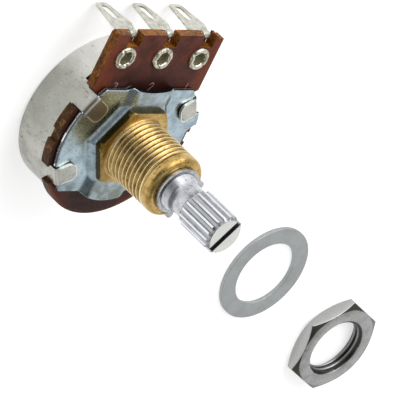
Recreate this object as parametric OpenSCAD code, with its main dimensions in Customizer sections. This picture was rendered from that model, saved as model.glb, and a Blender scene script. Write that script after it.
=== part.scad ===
// Panel potentiometer with a knurled shaft, its flat washer and its hex nut.
// Z runs along the shaft towards its tip, Y towards the terminals, and the
// origin is the middle of the face of the hex flange, which meets the panel.

/* [Shaft] */
// Diameter of the shaft, in the bushing and over the serrations
shaft_d = 6; // [5:0.05:6.35]
// From the panel face to the tip of the shaft
shaft_reach = 20.6; // [18:0.1:40]
// Length of the serrated end
serration_len = 6.4; // [4:0.1:8]
// Number of serrations round the shaft
serrations = 18; // [12:1:24]
// Depth of one serration
serration_depth = 0.34; // [0.1:0.01:0.4]
// Width of the crest between two serrations
crest_w = 0.27; // [0.1:0.01:0.5]
// How much slimmer the plain neck is than the shaft, on the radius
neck_cut = 0.55; // [0.3:0.01:0.7]
// Length of the cone between the ring and the neck
neck_cone = 1.3; // [0.4:0.1:1.6]
// Chamfer round the tip
tip_chamfer = 0.42; // [0.1:0.01:0.6]
// Width of the screwdriver slot
slot_w = 0.95; // [0.6:0.05:1.4]
// Depth of the screwdriver slot
slot_depth = 1.2; // [0.5:0.1:2]
// Angle of the slot at mid travel, from the X axis
slot_angle = 56; // [0:1:180]
// Diameter of the tail that carries the rotor
tail_d = 4.2; // [3:0.1:4.6]
// Distance across the two flats of the tail
tail_flats = 3.2; // [2.4:0.1:3.6]

/* [Bushing] */
// Outside diameter of the thread
thread_d = 9.525; // [9:0.005:10]
// From the panel face to the end of the bushing
bushing_len = 9.5; // [6:0.1:12]
// Radius of the rounded end of the thread
thread_nose = 0.9; // [0.2:0.05:1]
// Width of the hex flange's seat, from the thread to a flat
flange_seat = 0.89; // [0.5:0.01:1]
// Thickness of the hex flange
flange_t = 1.0; // [0.8:0.05:1.3]
// Running clearance of the shaft in the bore, on the radius
bore_clear = 0.03; // [0.01:0.01:0.09]
// Wall of the hub that reaches through the board
hub_wall = 0.77; // [0.5:0.01:0.8]
// How far the neck that is staked into the plate stands out from the hub
stake_step = 0.3; // [0.1:0.05:0.5]
// Width of the staked lip beyond that neck
stake_lip = 0.6; // [0.3:0.05:0.8]
// Height of the staked lip
stake_h = 0.45; // [0.3:0.05:0.6]
// Clearance of the hub in the board, on the radius
hub_clear = 0.15; // [0.05:0.01:0.3]

/* [Retaining ring] */
// Thickness of the open ring on the shaft
ring_t = 0.6; // [0.4:0.05:0.8]
// How far the open ring stands out from the shaft
ring_out = 0.5; // [0.3:0.05:0.8]
// Depth of its groove in the shaft
groove_depth = 0.45; // [0.3:0.05:0.6]
// Opening of the ring, as an angle
ring_gap = 78; // [50:1:110]
// How far the two ears stand out from the ring
ring_ear = 0.9; // [0.3:0.05:1.1]
// Radius of the two ears
ear_r = 0.6; // [0.3:0.05:0.7]
// End play of the shaft along its axis
end_play = 0.04; // [0.02:0.01:0.1]

/* [Mounting plate] */
// Thickness of the plate sheet
plate_t = 0.85; // [0.6:0.05:1]
// How far the plate's round edge lies inside the cover's wall
plate_inset = 0.2; // [0.1:0.05:0.5]
// Height of the plate across its two straight edges
plate_h = 16.6; // [15:0.1:18]
// Length of its straight edges, corners included
plate_flat = 18.8; // [17:0.1:19.4]
// Height of the pressed rib over the plate
rib_raise = 0.8; // [0.6:0.05:1]
// Width of the flat top of the rib
rib_w = 6.0; // [5:0.1:7]
// Width of each sloping wall of the rib
rib_slope = 1.5; // [1:0.1:1.8]
// Border of the raised seat round the hex flange
seat_border = 0.25; // [0.1:0.05:0.5]
// Width of the sloping wall of the seat
seat_slope = 0.7; // [0.5:0.05:0.9]
// Radius of the plate's corners
plate_corner = 0.9; // [0.4:0.1:1.4]
// How far the rib's rounded end reaches past the straight edge
rib_reach = 1.05; // [0.5:0.05:1.3]
// Radius of that rounded end
rib_end_r = 10.2; // [9.5:0.1:11]
// Height of the two points at the rib's other end
rib_point = 0.55; // [0.3:0.05:0.8]
// Radius of the hollow between the two points
rib_hollow_r = 14; // [12:0.5:18]
// How far the rim stands out beside the locating notch
rim_ear = 0.7; // [0.3:0.1:0.8]
// Width of the locating notch at its floor
locate_w = 3.0; // [2:0.1:3.6]
// Depth of the locating notch from the round edge
locate_depth = 0.95; // [0.5:0.05:1.2]

/* [Element board] */
// Thickness of the laminated board
board_t = 1.5; // [1.2:0.1:2]
// How far the round edge of the board stands out from the cover
board_lip = 0.6; // [0.4:0.05:1]
// From the outer eyelets to the two sides of the terminal end
board_side = 3.15; // [2.7:0.05:3.6]
// From the eyelets to the top edge of the board
board_edge = 3.65; // [3.4:0.05:4.5]
// Radius of the two top corners
board_corner = 0.5; // [0.3:0.1:1]
// Depth of the notches behind the terminals
notch_depth = 1.9; // [1.4:0.1:2.2]
// Room on both sides of a terminal's neck in its notch
notch_room = 0.55; // [0.3:0.05:0.8]
// Width of the locating nicks at the two sides
nick_w = 1.7; // [0.8:0.1:2]
// Depth of the locating nicks
nick_depth = 0.5; // [0.3:0.1:0.9]
// Depth of the small step at one top corner
step_depth = 0.35; // [0.1:0.05:0.6]
// Width of that step
step_w = 1.1; // [0.5:0.1:1.5]

/* [Cover] */
// Outside diameter of the cover
can_d = 24; // [23.6:0.1:24.4]
// Depth of the cover behind the board
can_depth = 6.65; // [6:0.05:9]
// Wall of the cover
can_wall = 0.4; // [0.3:0.05:0.45]
// Outside radius between the wall and the back
can_corner = 0.9; // [0.6:0.1:1.4]
// Width of a folded tab
tab_w = 3.0; // [2.4:0.1:3.4]
// Length of the tab over the plate, from the cover's wall
tab_len = 2.9; // [2:0.1:3.2]
// Inside radius of the tab's fold
tab_bend = 0.35; // [0.2:0.05:0.5]
// Radius of the tab's two corners
tab_corner = 1.1; // [0.3:0.1:1.3]
// How far the tip of the tab springs up from the plate
tab_lift = 0.25; // [0.1:0.05:0.4]
// Angle of the tabs from the X axis
tab_angle = 30; // [27:1:33]
// Free space beside a tab in the board and the plate
tab_clear = 0.15; // [0.1:0.01:0.3]
// Depth of the rim's opening under the terminals
window_depth = 1.4; // [1.2:0.1:1.8]
// Width of the rim's opening under the terminals, as an angle
window_angle = 100; // [92:1:102]

/* [Terminals] */
// Spacing of the three terminals
pitch = 7.1; // [6.9:0.05:7.3]
// From the cover's wall to the row of eyelets
eyelet_out = 1.0; // [0.8:0.05:1.2]
// Thickness of the terminal strip
lug_t = 0.3; // [0.25:0.05:0.5]
// Reach of the lugs behind the board
lug_len = 6.4; // [5:0.1:6.6]
// Width of a lug at its tip
lug_tip_w = 2.5; // [2.2:0.1:2.8]
// Width of a lug at its shoulders
lug_base_w = 4.2; // [3.6:0.1:4.4]
// How far the lug's shoulder stands out beside its neck
lug_ear = 0.6; // [0.3:0.05:0.8]
// From the back of the board down to that shoulder
lug_drop = 1.5; // [1:0.1:2]
// Radius of the lug's two corners
lug_corner = 0.7; // [0.3:0.1:1]
// Width of the soldering eye
eye_w = 1.15; // [0.8:0.05:1.3]
// Length of the soldering eye
eye_len = 3.2; // [2.4:0.1:3.4]
// Metal left below the soldering eye
eye_edge = 0.65; // [0.5:0.05:0.9]
// Width of the neck between lug and foot
neck_w = 1.3; // [1:0.1:1.5]
// How far the notch and the neck lie beside the eyelet
neck_shift = 0.45; // [0.3:0.05:0.6]
// How far the bend of the neck reaches into the notch
neck_bulge = 0.8; // [0.5:0.05:1]
// Width of the foot under the eyelet
foot_w = 4.0; // [3.8:0.1:4.4]

/* [Eyelets] */
// Outside diameter of the rolled head
head_d = 3.5; // [3.2:0.1:3.8]
// Height of the rolled head
head_h = 0.5; // [0.4:0.05:0.6]
// Outside diameter of the eyelet's barrel
barrel_d = 2.4; // [2.2:0.1:2.5]
// Hole through the eyelet
eyelet_bore = 1.9; // [1.6:0.1:1.9]
// Thickness of the flange at the back
set_t = 0.35; // [0.25:0.05:0.4]
// Clearance of the barrel in the board and the terminal, on the radius
eyelet_clear = 0.02; // [0.01:0.01:0.05]

/* [Element] */
// From the edge of the rotor in to the middle of the carbon track
track_in = 0.7; // [0.6:0.05:0.9]
// Width of the carbon track
track_w = 2.0; // [1.6:0.1:2.2]
// Thickness of the printed films
film_t = 0.08; // [0.05:0.01:0.1]
// Open angle of the track at the terminals
track_gap = 56; // [50:1:60]
// Width of the collector ring
collector_w = 1.4; // [1:0.1:1.6]
// Thickness of the collector ring
collector_t = 0.15; // [0.1:0.01:0.2]
// Width of the printed leads
lead_w = 2.6; // [2:0.1:2.8]
// How far a lead's round end lies past the end of the track, as an angle
lead_turn = 6; // [4:1:8]
// Margin of the printed pads round the terminals' feet
pad_edge = 0.35; // [0.2:0.05:0.5]

/* [Rotor] */
// Room between the rotor disc and the cover's wall
rotor_room = 1.9; // [1.6:0.1:2.2]
// Thickness of the rotor disc
rotor_t = 1.5; // [1.2:0.1:1.8]
// How far the rotor's boss and the thrust washer stand out from the shaft
boss_out = 1.0; // [0.7:0.05:1.2]
// From the back of the board to the face of the rotor disc
rotor_gap = 1.0; // [0.9:0.05:1.2]
// Thickness of the thrust washer
thrust_t = 0.25; // [0.2:0.05:0.3]
// Clearance of the flatted tail in the rotor
tail_clear = 0.02; // [0.01:0.01:0.05]
// Thickness of the wiper sheet
wiper_t = 0.2; // [0.15:0.01:0.25]
// Width of the wiper arm
wiper_arm_w = 1.2; // [1:0.1:1.4]
// Gap between a contact and its track, free of rubbing
contact_gap = 0.06; // [0.05:0.01:0.1]
// Diameter of the two pegs that hold the wiper
peg_d = 0.9; // [0.7:0.1:1]
// Total turn of the shaft between its stops
turn_range = 300; // [270:1:304]
// Angle that the rotor's stop arm takes up
arm_angle = 28; // [24:1:28]
// Clearance of the stop arm inside the cover's wall
arm_clear = 0.35; // [0.2:0.05:0.5]
// Clearance of the cover's stop outside the rotor disc
stop_clear = 0.5; // [0.3:0.05:0.7]

/* [Loose hardware] */
// Outside diameter of the flat washer
washer_d = 15.8; // [14:0.1:17]
// Clearance of the flat washer round the thread, on the radius
washer_clear = 0.54; // [0.1:0.01:0.7]
// Thickness of the flat washer
washer_t = 0.6; // [0.4:0.05:1]
// Wall of the nut, from the thread's crests to a flat
nut_wall = 2.09; // [1.6:0.01:2.6]
// Thickness of the nut
nut_t = 2.2; // [1.8:0.1:3]
// Height of the nut's thread inside the bushing's diameter
thread_depth = 0.36; // [0.2:0.01:0.45]
// Countersink at both mouths of the nut
nut_sink = 0.45; // [0.2:0.05:0.6]
// Where the washer lies, sideways and away from the terminals
washer_at = [53.0, -29.5]; // [-80:0.5:80]
// Where the nut lies, sideways and away from the terminals
nut_at = [75.0, -42.5]; // [-90:0.5:90]
// Angle of the nut as it lies
nut_angle = 32; // [0:1:60]

/* [Hidden] */
$fn = 64;
eps = 0.02;
far = 3 * can_d;
can_r = can_d / 2;
can_in = can_r - can_wall;
shaft_r = shaft_d / 2;
bore_r = shaft_r + bore_clear;
thread_r = thread_d / 2;
hub_r = bore_r + hub_wall;
stake_r = hub_r + stake_step;
flange_af = thread_d + 2 * flange_seat;
ring_r = shaft_r + ring_out;
groove_r = shaft_r - groove_depth;
neck_r = shaft_r - neck_cut;
boss_r = shaft_r + boss_out;
plate_r = can_r - plate_inset;
board_r = can_r + board_lip;
eyelet_y = can_r + eyelet_out;
board_top = eyelet_y + board_edge;
board_w = 2 * (pitch + board_side);
notch_w = neck_w + 2 * notch_room;
rotor_r = can_in - rotor_room;
track_r = rotor_r - track_in;
collector_r = boss_r + 0.4 * (track_r - boss_r);
wiper_r = collector_r + wiper_arm_w / 2;
peg_r = (boss_r + wiper_r) / 2;
stop_r = rotor_r + stop_clear;
stop_angle = 360 - turn_range - arm_angle - 1;
rib_z = -flange_t;
plate_z = rib_z - rib_raise;
board_z = plate_z - plate_t;
back_z = board_z - board_t;
can_z = back_z - can_depth;
hub_end = back_z - 0.15;
ring_z = bushing_len + end_play;
ring_top = ring_z + ring_t;
boss_z = hub_end - end_play - thrust_t;
rotor_z = back_z - rotor_gap;
tail_end = rotor_z - rotor_t - 0.55;
serration_z = shaft_reach - serration_len;
tab_spots = [tab_angle, 180 - tab_angle, 180 + tab_angle, -tab_angle];
tab_in = can_in - tab_bend;
lug_y = board_top - lug_t;
washer_bore = thread_d + 2 * washer_clear;
nut_bore = thread_d - 2 * thread_depth;
nut_af = thread_d + 2 * nut_wall;

function spot_x(i) = (2 - i) * pitch;
function hex_r(af) = af / 2 / cos(30);

// A sector of a ring from angle a0 to a1, anticlockwise, of a thickness
module ring_sector(r0, r1, t, a0, a1) {
    rotate([0, 0, a0]) rotate_extrude(angle = a1 - a0, $fn = 96)
        translate([r0, 0]) square([r1 - r0, t]);
}

// A flat rounded rectangle between two corners
module rounded(x0, y0, x1, y1, r) {
    translate([x0 + r, y0]) square([x1 - x0 - 2 * r, y1 - y0]);
    translate([x0, y0 + r]) square([x1 - x0, y1 - y0 - 2 * r]);
    for (x = [x0 + r, x1 - r], y = [y0 + r, y1 - r])
        translate([x, y]) circle(r, $fn = 32);
}

// The outline of the places that the folded tabs pass through
module tab_places(inner, side) {
    for (a = tab_spots) rotate(a)
        translate([inner, -tab_w / 2 - side]) square([far, tab_w + 2 * side]);
}

// The turned shaft: serrated end, neck, groove, journal and flatted tail
module shaft() {
    tail_r = tail_d / 2;
    color("gainsboro") rotate([0, 0, slot_angle]) difference() {
        union() {
            rotate_extrude() shaft_section();
            intersection() {
                translate([0, 0, tail_end]) cylinder(h = boss_z + 1 - tail_end, r = tail_r);
                translate([-far, -tail_flats / 2, tail_end - 1])
                    cube([2 * far, tail_flats, boss_z - tail_end + 3]);
            }
            translate([0, 0, tail_end])
                cylinder(h = 0.52, r1 = tail_r + 0.1, r2 = tail_r + 0.5);
        }
        translate([-far, -slot_w / 2, shaft_reach - slot_depth])
            cube([2 * far, slot_w, slot_depth + 1]);
        for (i = [0:serrations - 1]) rotate([0, 0, (i + 0.5) * 360 / serrations])
            translate([0, 0, serration_z - 0.1]) linear_extrude(serration_len + 1)
                serration_section();
    }
}

// Half section of the turned shaft, from the journal up to the tip
module shaft_section() {
    cone_top = min(ring_top + neck_cone, (ring_top + serration_z) / 2);
    polygon([
        [0, boss_z], [shaft_r, boss_z], [shaft_r, bushing_len - 0.2],
        [groove_r, bushing_len - 0.2], [groove_r, ring_top], [shaft_r, ring_top],
        [neck_r, cone_top], [neck_r, serration_z], [shaft_r - 0.15, serration_z],
        [shaft_r, serration_z + 0.15], [shaft_r, shaft_reach - tip_chamfer],
        [shaft_r - tip_chamfer, shaft_reach], [0, shaft_reach]
    ]);
}

// Section of one serration: a wide flat valley with sloping sides
module serration_section() {
    valley = (PI * shaft_d / serrations - crest_w) / 2;
    grow = 0.5 * valley / serration_depth;
    root = shaft_r - serration_depth;
    polygon([
        [root, -valley / 2], [root, valley / 2],
        [shaft_r + 0.2, valley + 0.2 * grow], [shaft_r + 0.2, -valley - 0.2 * grow]
    ]);
}

// The open spring ring in the shaft's groove, with an ear at each end
module retaining_ring() {
    mid = slot_angle - 90;
    color("silver") translate([0, 0, ring_z]) {
        ring_sector(groove_r + eps, ring_r, ring_t, mid + ring_gap / 2,
                    mid + 360 - ring_gap / 2);
        for (s = [-1, 1]) rotate([0, 0, mid + s * (ring_gap / 2 + 9)])
            translate([ring_r + ring_ear - ear_r, 0, 0]) cylinder(h = ring_t, r = ear_r, $fn = 32);
    }
}

// The brass bushing: thread, hex flange, staked neck and hub
module bushing() {
    color("goldenrod") difference() {
        union() {
            rotate_extrude() bushing_section();
            intersection() {
                translate([0, 0, -flange_t]) cylinder(h = flange_t, r = hex_r(flange_af), $fn = 6);
                union() {
                    translate([0, 0, -flange_t - 1])
                        cylinder(h = flange_t + 0.8, r = hex_r(flange_af) + 0.2);
                    translate([0, 0, -0.2])
                        cylinder(h = 0.2, r1 = hex_r(flange_af) + 0.2, r2 = flange_af / 2 + 0.45);
                }
            }
        }
        translate([0, 0, hub_end - 1]) cylinder(h = bushing_len - hub_end + 2, r = bore_r);
        translate([0, 0, bushing_len - 0.35])
            cylinder(h = 0.36, r1 = bore_r, r2 = bore_r + 0.36);
    }
}

// Half section of the bushing: hub, staked lip, neck, thread and its round nose
module bushing_section() {
    lip_top = rib_z - plate_t;
    mid = -flange_t / 2;
    polygon([
        [0, hub_end], [hub_r, hub_end], [hub_r, lip_top - stake_h],
        [stake_r + stake_lip - 0.2, lip_top - stake_h], [stake_r + stake_lip, lip_top],
        [stake_r, lip_top], [stake_r, mid], [0, mid]
    ]);
    translate([0, mid - 0.1]) square([thread_r, bushing_len - thread_nose - mid + 0.1]);
    square([thread_r - thread_nose, bushing_len]);
    translate([thread_r - thread_nose, bushing_len - thread_nose]) circle(thread_nose, $fn = 48);
}

// A hexagonal block with sloping sides, made of three crossing bars
module hex_hill(af, slope, h) {
    intersection() {
        hill_bar(af, slope, h);
        rotate([0, 0, 60]) hill_bar(af, slope, h);
        rotate([0, 0, 120]) hill_bar(af, slope, h);
    }
}

// One bar of that block: flat top of width af, sides that slope outwards
module hill_bar(af, slope, h) {
    run = slope / h;
    translate([-far, 0, 0]) rotate([90, 0, 90]) linear_extrude(2 * far)
        polygon([
            [-af / 2 - slope - run, -1], [af / 2 + slope + run, -1],
            [af / 2, h], [-af / 2, h]
        ]);
}

// The shape pressed into the plate: a rib along Y and the seat of the flange
module pressing(z) {
    translate([0, 0, z]) {
        rotate([90, 0, 0]) translate([0, 0, -far]) linear_extrude(2 * far)
            polygon([
                [-rib_w / 2 - rib_slope, -0.001], [rib_w / 2 + rib_slope, -0.001],
                [rib_w / 2, rib_raise], [-rib_w / 2, rib_raise]
            ]);
        intersection() {
            hex_hill(flange_af + 2 * seat_border, seat_slope, rib_raise);
            translate([-far, -far, -0.001]) cube([2 * far, 2 * far, 5]);
        }
    }
}

// The plan outline of the plate
module plate_outline() {
    half = plate_h / 2;
    foot = rib_w / 2 + rib_slope;
    top = rib_w / 2 + rib_slope / 2;
    difference() {
        union() {
            intersection() {
                circle(plate_r, $fn = 128);
                union() {
                    square([far, plate_h - 2 * plate_corner], center = true);
                    rounded(-plate_flat / 2, -half, plate_flat / 2, half, plate_corner);
                }
            }
            intersection() {
                translate([0, rib_end_r - half - rib_reach]) circle(rib_end_r, $fn = 128);
                translate([-2 * foot, -far]) square([4 * foot, far]);
            }
            polygon([
                [-foot, half - 1], [foot, half - 1], [foot, half],
                [top, half + rib_point], [-top, half + rib_point], [-foot, half]
            ]);
            rim_ears();
        }
        translate([0, half + rib_hollow_r]) circle(rib_hollow_r, $fn = 128);
        locating_notch();
        tab_places(tab_in, tab_clear);
    }
}

// The rim stands out a little on both sides of the locating notch
module rim_ears() {
    reach = plate_r * sin(tab_angle);
    intersection() {
        circle(plate_r + rim_ear, $fn = 128);
        translate([0, -reach]) square([far, 2 * reach]);
    }
}

// The notch that locates the plate, with walls that slope outwards
module locating_notch() {
    x = plate_r - locate_depth;
    w = locate_w / 2;
    polygon([
        [x, -w], [plate_r, -w - locate_depth], [far, -w - locate_depth],
        [far, w + locate_depth], [plate_r, w + locate_depth], [x, w]
    ]);
}

// The pressed and plated mounting plate
module mounting_plate() {
    color("lightsteelblue") difference() {
        union() {
            translate([0, 0, board_z]) linear_extrude(plate_t) plate_outline();
            intersection() {
                pressing(plate_z);
                translate([0, 0, board_z]) linear_extrude(6) plate_outline();
            }
        }
        pressing(board_z);
        translate([0, 0, board_z - 1]) cylinder(h = 6, r = stake_r);
    }
}

// The laminated board that carries the element and the terminals
module element_board() {
    color("saddlebrown") translate([0, 0, back_z]) linear_extrude(board_t) difference() {
        union() {
            circle(board_r, $fn = 128);
            rounded(-board_w / 2, 0, board_w / 2, board_top, board_corner);
        }
        for (i = [1:3]) {
            translate([spot_x(i) + neck_shift - notch_w / 2, board_top - notch_depth])
                square([notch_w, notch_depth + 1]);
            translate([spot_x(i), eyelet_y]) circle(barrel_d / 2 + eyelet_clear, $fn = 32);
        }
        translate([board_w / 2 - step_w, board_top - step_depth]) square([far, far]);
        for (s = [0, 180]) rotate(s) translate([board_r - nick_depth, -nick_w / 2])
            square([far, nick_w]);
        tab_places(tab_in, tab_clear);
        circle(hub_r + hub_clear);
    }
}

// Section of the drawn cover, or of its inside, from the axis outwards
module cup_section(r, z, corner, top) {
    translate([0, z]) square([r - corner, top - z]);
    translate([0, z + corner]) square([r, top - z - corner]);
    translate([r - corner, z + corner]) circle(corner, $fn = 48);
}

// Section of a tab: up the wall, round the fold and over the plate, lifted at its tip
module tab_section() {
    top = plate_z + can_wall;
    fold = can_wall + tab_bend;
    tip = can_in - tab_len;
    translate([can_in, back_z - 0.5]) square([can_wall, top - fold - back_z + 0.5]);
    polygon([
        [can_r - fold, plate_z], [can_r - fold, top],
        [tip, top + tab_lift], [tip, plate_z + tab_lift]
    ]);
    intersection() {
        translate([can_r - fold, top - fold]) difference() {
            circle(fold, $fn = 48);
            circle(tab_bend, $fn = 48);
        }
        translate([can_r - fold, top - fold]) square(fold + 1);
    }
}

// The drawn cover with its four folded tabs and the stop pressed inwards
module cover() {
    stop_top = rotor_z + 0.6;
    stop_low = rotor_z - rotor_t - 0.6;
    side = asin(can_wall / stop_r);
    color("silver") difference() {
        union() {
            rotate_extrude($fn = 128) {
                difference() {
                    cup_section(can_r, can_z, can_corner, back_z);
                    cup_section(can_in, can_z + can_wall, can_corner - can_wall, back_z + 1);
                }
                tab_section();
            }
            translate([0, 0, stop_low])
                ring_sector(stop_r, can_in + can_wall / 4, stop_top - stop_low,
                            270 - stop_angle / 2, 270 + stop_angle / 2);
        }
        translate([0, 0, back_z]) linear_extrude(board_t + plate_t + 2) difference() {
            circle(can_r + 2);
            for (a = tab_spots) rotate(a)
                rounded(can_in - tab_len, -tab_w / 2, can_r + 3, tab_w / 2, tab_corner);
        }
        translate([0, 0, stop_low + can_wall])
            ring_sector(stop_r + can_wall, can_r + 1, stop_top - stop_low - 2 * can_wall,
                        270 - stop_angle / 2 + side, 270 + stop_angle / 2 - side);
        translate([0, 0, back_z - window_depth])
            ring_sector(can_in - 0.5, can_r + 1, window_depth + 0.5,
                        90 - window_angle / 2, 90 + window_angle / 2);
    }
}

// One terminal: foot under the eyelet, bend through the notch and lug
module terminal(i) {
    x = spot_x(i);
    nx = x + neck_shift;
    bend_y = lug_y - neck_bulge;
    color("gainsboro") difference() {
        union() {
            translate([x, eyelet_y, back_z - lug_t]) cylinder(h = lug_t, r = foot_w / 2);
            translate([nx - notch_w / 2, eyelet_y, back_z - lug_t])
                cube([notch_w, bend_y - eyelet_y, lug_t]);
            translate([nx - neck_w / 2, 0, 0]) rotate([90, 0, 90]) linear_extrude(neck_w)
                neck_section(bend_y);
            translate([0, board_top, 0]) rotate([90, 0, 0]) linear_extrude(lug_t)
                lug_outline(nx + neck_w / 2);
        }
        translate([x, eyelet_y, back_z - 2])
            cylinder(h = 3, r = barrel_d / 2 + eyelet_clear, $fn = 32);
    }
}

// Section of the neck, in Y and Z: up, forward into the notch and back
module neck_section(bend_y) {
    t = lug_t;
    r = (lug_y + t - bend_y) / 2;
    front = back_z - t + r;
    translate([bend_y - 0.4, back_z - t]) square([0.4 + eps, t]);
    translate([bend_y, front]) intersection() {
        difference() {
            translate([r, 0]) circle(r, $fn = 48);
            translate([r, 0]) circle(r - t, $fn = 48);
        }
        translate([0, 0]) square([2 * r, r + 1]);
    }
    translate([bend_y, back_z - t]) square([t, front - back_z + t + eps]);
    translate([lug_y, back_z - t]) square([t, front - back_z + t + eps]);
}

// Outline of the lug, in X and Z, with its soldering eye; side is the neck's edge
module lug_outline(side) {
    tip = back_z - lug_len;
    right = side + lug_ear;
    left = right - lug_base_w;
    mid = side - lug_tip_w / 2;
    half = lug_tip_w / 2;
    r = lug_corner;
    difference() {
        union() {
            polygon([
                [side, back_z], [right, back_z - lug_drop], [mid + half, tip + r],
                [mid - half, tip + r], [left, back_z - lug_drop / 3], [left, back_z]
            ]);
            translate([mid - half + r, tip]) square([lug_tip_w - 2 * r, r + eps]);
            for (s = [-1, 1]) translate([mid + s * (half - r), tip + r]) circle(r, $fn = 32);
        }
        for (z = [eye_w / 2, eye_len - eye_w / 2])
            translate([mid, tip + eye_edge + z]) circle(eye_w / 2, $fn = 32);
        translate([mid - eye_w / 2, tip + eye_edge + eye_w / 2])
            square([eye_w, eye_len - eye_w]);
    }
}

// One eyelet: rolled head in front, barrel, set flange behind the foot
module eyelet(i) {
    back = back_z - lug_t - set_t;
    bore = eyelet_bore / 2;
    roll = (head_d / 2 - bore) / 2;
    color("whitesmoke") translate([spot_x(i), eyelet_y, 0]) rotate_extrude() {
        translate([bore, back]) square([barrel_d / 2 - bore, board_z + head_h / 2 - back]);
        translate([bore, back]) square([head_d / 2 - bore, set_t]);
        intersection() {
            union() {
                translate([bore + roll, board_z + head_h - roll]) circle(roll, $fn = 32);
                translate([bore, board_z]) square([2 * roll, max(head_h - roll, 0.05)]);
            }
            translate([bore, board_z]) square([2 * roll, head_h]);
        }
    }
}

// The printed carbon track on the back of the board
module carbon_track() {
    color("black") translate([0, 0, back_z - film_t])
        ring_sector(track_r - track_w / 2, track_r + track_w / 2, film_t,
                    90 + track_gap / 2, 450 - track_gap / 2);
}

// A straight strip of width w from one point to another
module strip(from, to, w) {
    d = to - from;
    translate(from) rotate(atan2(d[1], d[0])) translate([0, -w / 2]) square([norm(d), w]);
}

// A printed silver lead from one end of the track to its terminal
module track_lead(i) {
    s = i == 1 ? 1 : -1;
    end = 90 - s * track_gap / 2;
    start = 90 - s * (track_gap / 2 - lead_turn);
    color("lightgray") translate([0, 0, back_z - film_t]) linear_extrude(film_t) difference() {
        union() {
            rotate(start) translate([track_r, 0]) circle(track_w / 2, $fn = 48);
            strip(track_r * [cos(start), sin(start)], [spot_x(i), eyelet_y], lead_w);
            translate([spot_x(i), eyelet_y]) circle(foot_w / 2 + pad_edge, $fn = 48);
        }
        translate([spot_x(i), eyelet_y]) circle(foot_w / 2 + eyelet_clear, $fn = 48);
        translate([spot_x(i) + neck_shift - notch_w / 2 - eyelet_clear, eyelet_y])
            square([notch_w + 2 * eyelet_clear, far]);
        intersection() {
            circle(track_r + track_w / 2 + eyelet_clear, $fn = 96);
            rotate(end) translate([0, s > 0 ? -far : 0]) square([far, far]);
        }
    }
}

// The collector ring with its tongue to the middle terminal
module collector_ring() {
    color("lightgray") translate([0, 0, back_z - collector_t]) linear_extrude(collector_t)
        difference() {
            union() {
                circle(collector_r + collector_w / 2, $fn = 96);
                translate([-lead_w / 2, collector_r])
                    square([lead_w, eyelet_y - foot_w / 2 - collector_r]);
            }
            circle(collector_r - collector_w / 2, $fn = 96);
            translate([0, eyelet_y]) circle(foot_w / 2 + eyelet_clear, $fn = 48);
        }
}

// The thrust washer between the hub and the rotor
module thrust_washer() {
    color("peru") translate([0, 0, boss_z]) difference() {
        cylinder(h = thrust_t, r = boss_r);
        translate([0, 0, -1]) cylinder(h = 3, r = shaft_r + 0.1);
    }
}

// The sprung wiper sheet: a ring pegged to the rotor and its two contacts
module wiper_spring() {
    color("khaki") rotate([0, 0, 270]) difference() {
        union() {
            translate([0, 0, rotor_z]) cylinder(h = wiper_t, r = wiper_r, $fn = 96);
            translate([0, -wiper_arm_w / 2, rotor_z])
                cube([track_r + wiper_arm_w / 2, wiper_arm_w, wiper_t]);
            translate([track_r, 0, rotor_z]) contact(back_z - film_t - contact_gap - rotor_z);
            translate([-collector_r, 0, rotor_z])
                contact(back_z - collector_t - contact_gap - rotor_z);
        }
        translate([0, 0, rotor_z - 1]) cylinder(h = 3, r = boss_r + 0.05);
        for (s = [-1, 1]) translate([0, s * peg_r, rotor_z - 1])
            cylinder(h = 3, r = peg_d / 2 + 0.05, $fn = 32);
    }
}

// A contact of the wiper: a round stem with a domed end
module contact(h) {
    r = wiper_arm_w / 2;
    dome = 0.25;
    cylinder(h = h - dome, r = r, $fn = 32);
    translate([0, 0, h - dome]) cylinder(h = dome, r1 = r, r2 = r - dome, $fn = 32);
}

// The moulded rotor with its boss, its pegs and its stop arm
module rotor_disc() {
    low = rotor_z - rotor_t;
    color("dimgray") difference() {
        union() {
            translate([0, 0, low]) cylinder(h = rotor_t, r = rotor_r, $fn = 96);
            translate([0, 0, low]) cylinder(h = boss_z - low, r = boss_r);
            translate([0, 0, low])
                ring_sector(rotor_r - 1, can_in - arm_clear, rotor_t, 90 - arm_angle / 2,
                            90 + arm_angle / 2);
            for (s = [-1, 1]) translate([s * peg_r, 0, low])
                cylinder(h = rotor_t + wiper_t + 0.15, r = peg_d / 2, $fn = 32);
        }
        intersection() {
            translate([0, 0, low - 1]) cylinder(h = rotor_t + 4, r = tail_d / 2 + tail_clear);
            rotate([0, 0, slot_angle])
                translate([-far, -tail_flats / 2 - tail_clear, low - 1])
                    cube([2 * far, tail_flats + 2 * tail_clear, rotor_t + 4]);
        }
    }
}

// The flat washer, taken off and laid beside
module flat_washer() {
    color("darkgray") translate([washer_at[0], washer_at[1], can_z]) difference() {
        cylinder(h = washer_t, r = washer_d / 2, $fn = 96);
        translate([0, 0, -1]) cylinder(h = washer_t + 2, r = washer_bore / 2, $fn = 96);
    }
}

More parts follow.
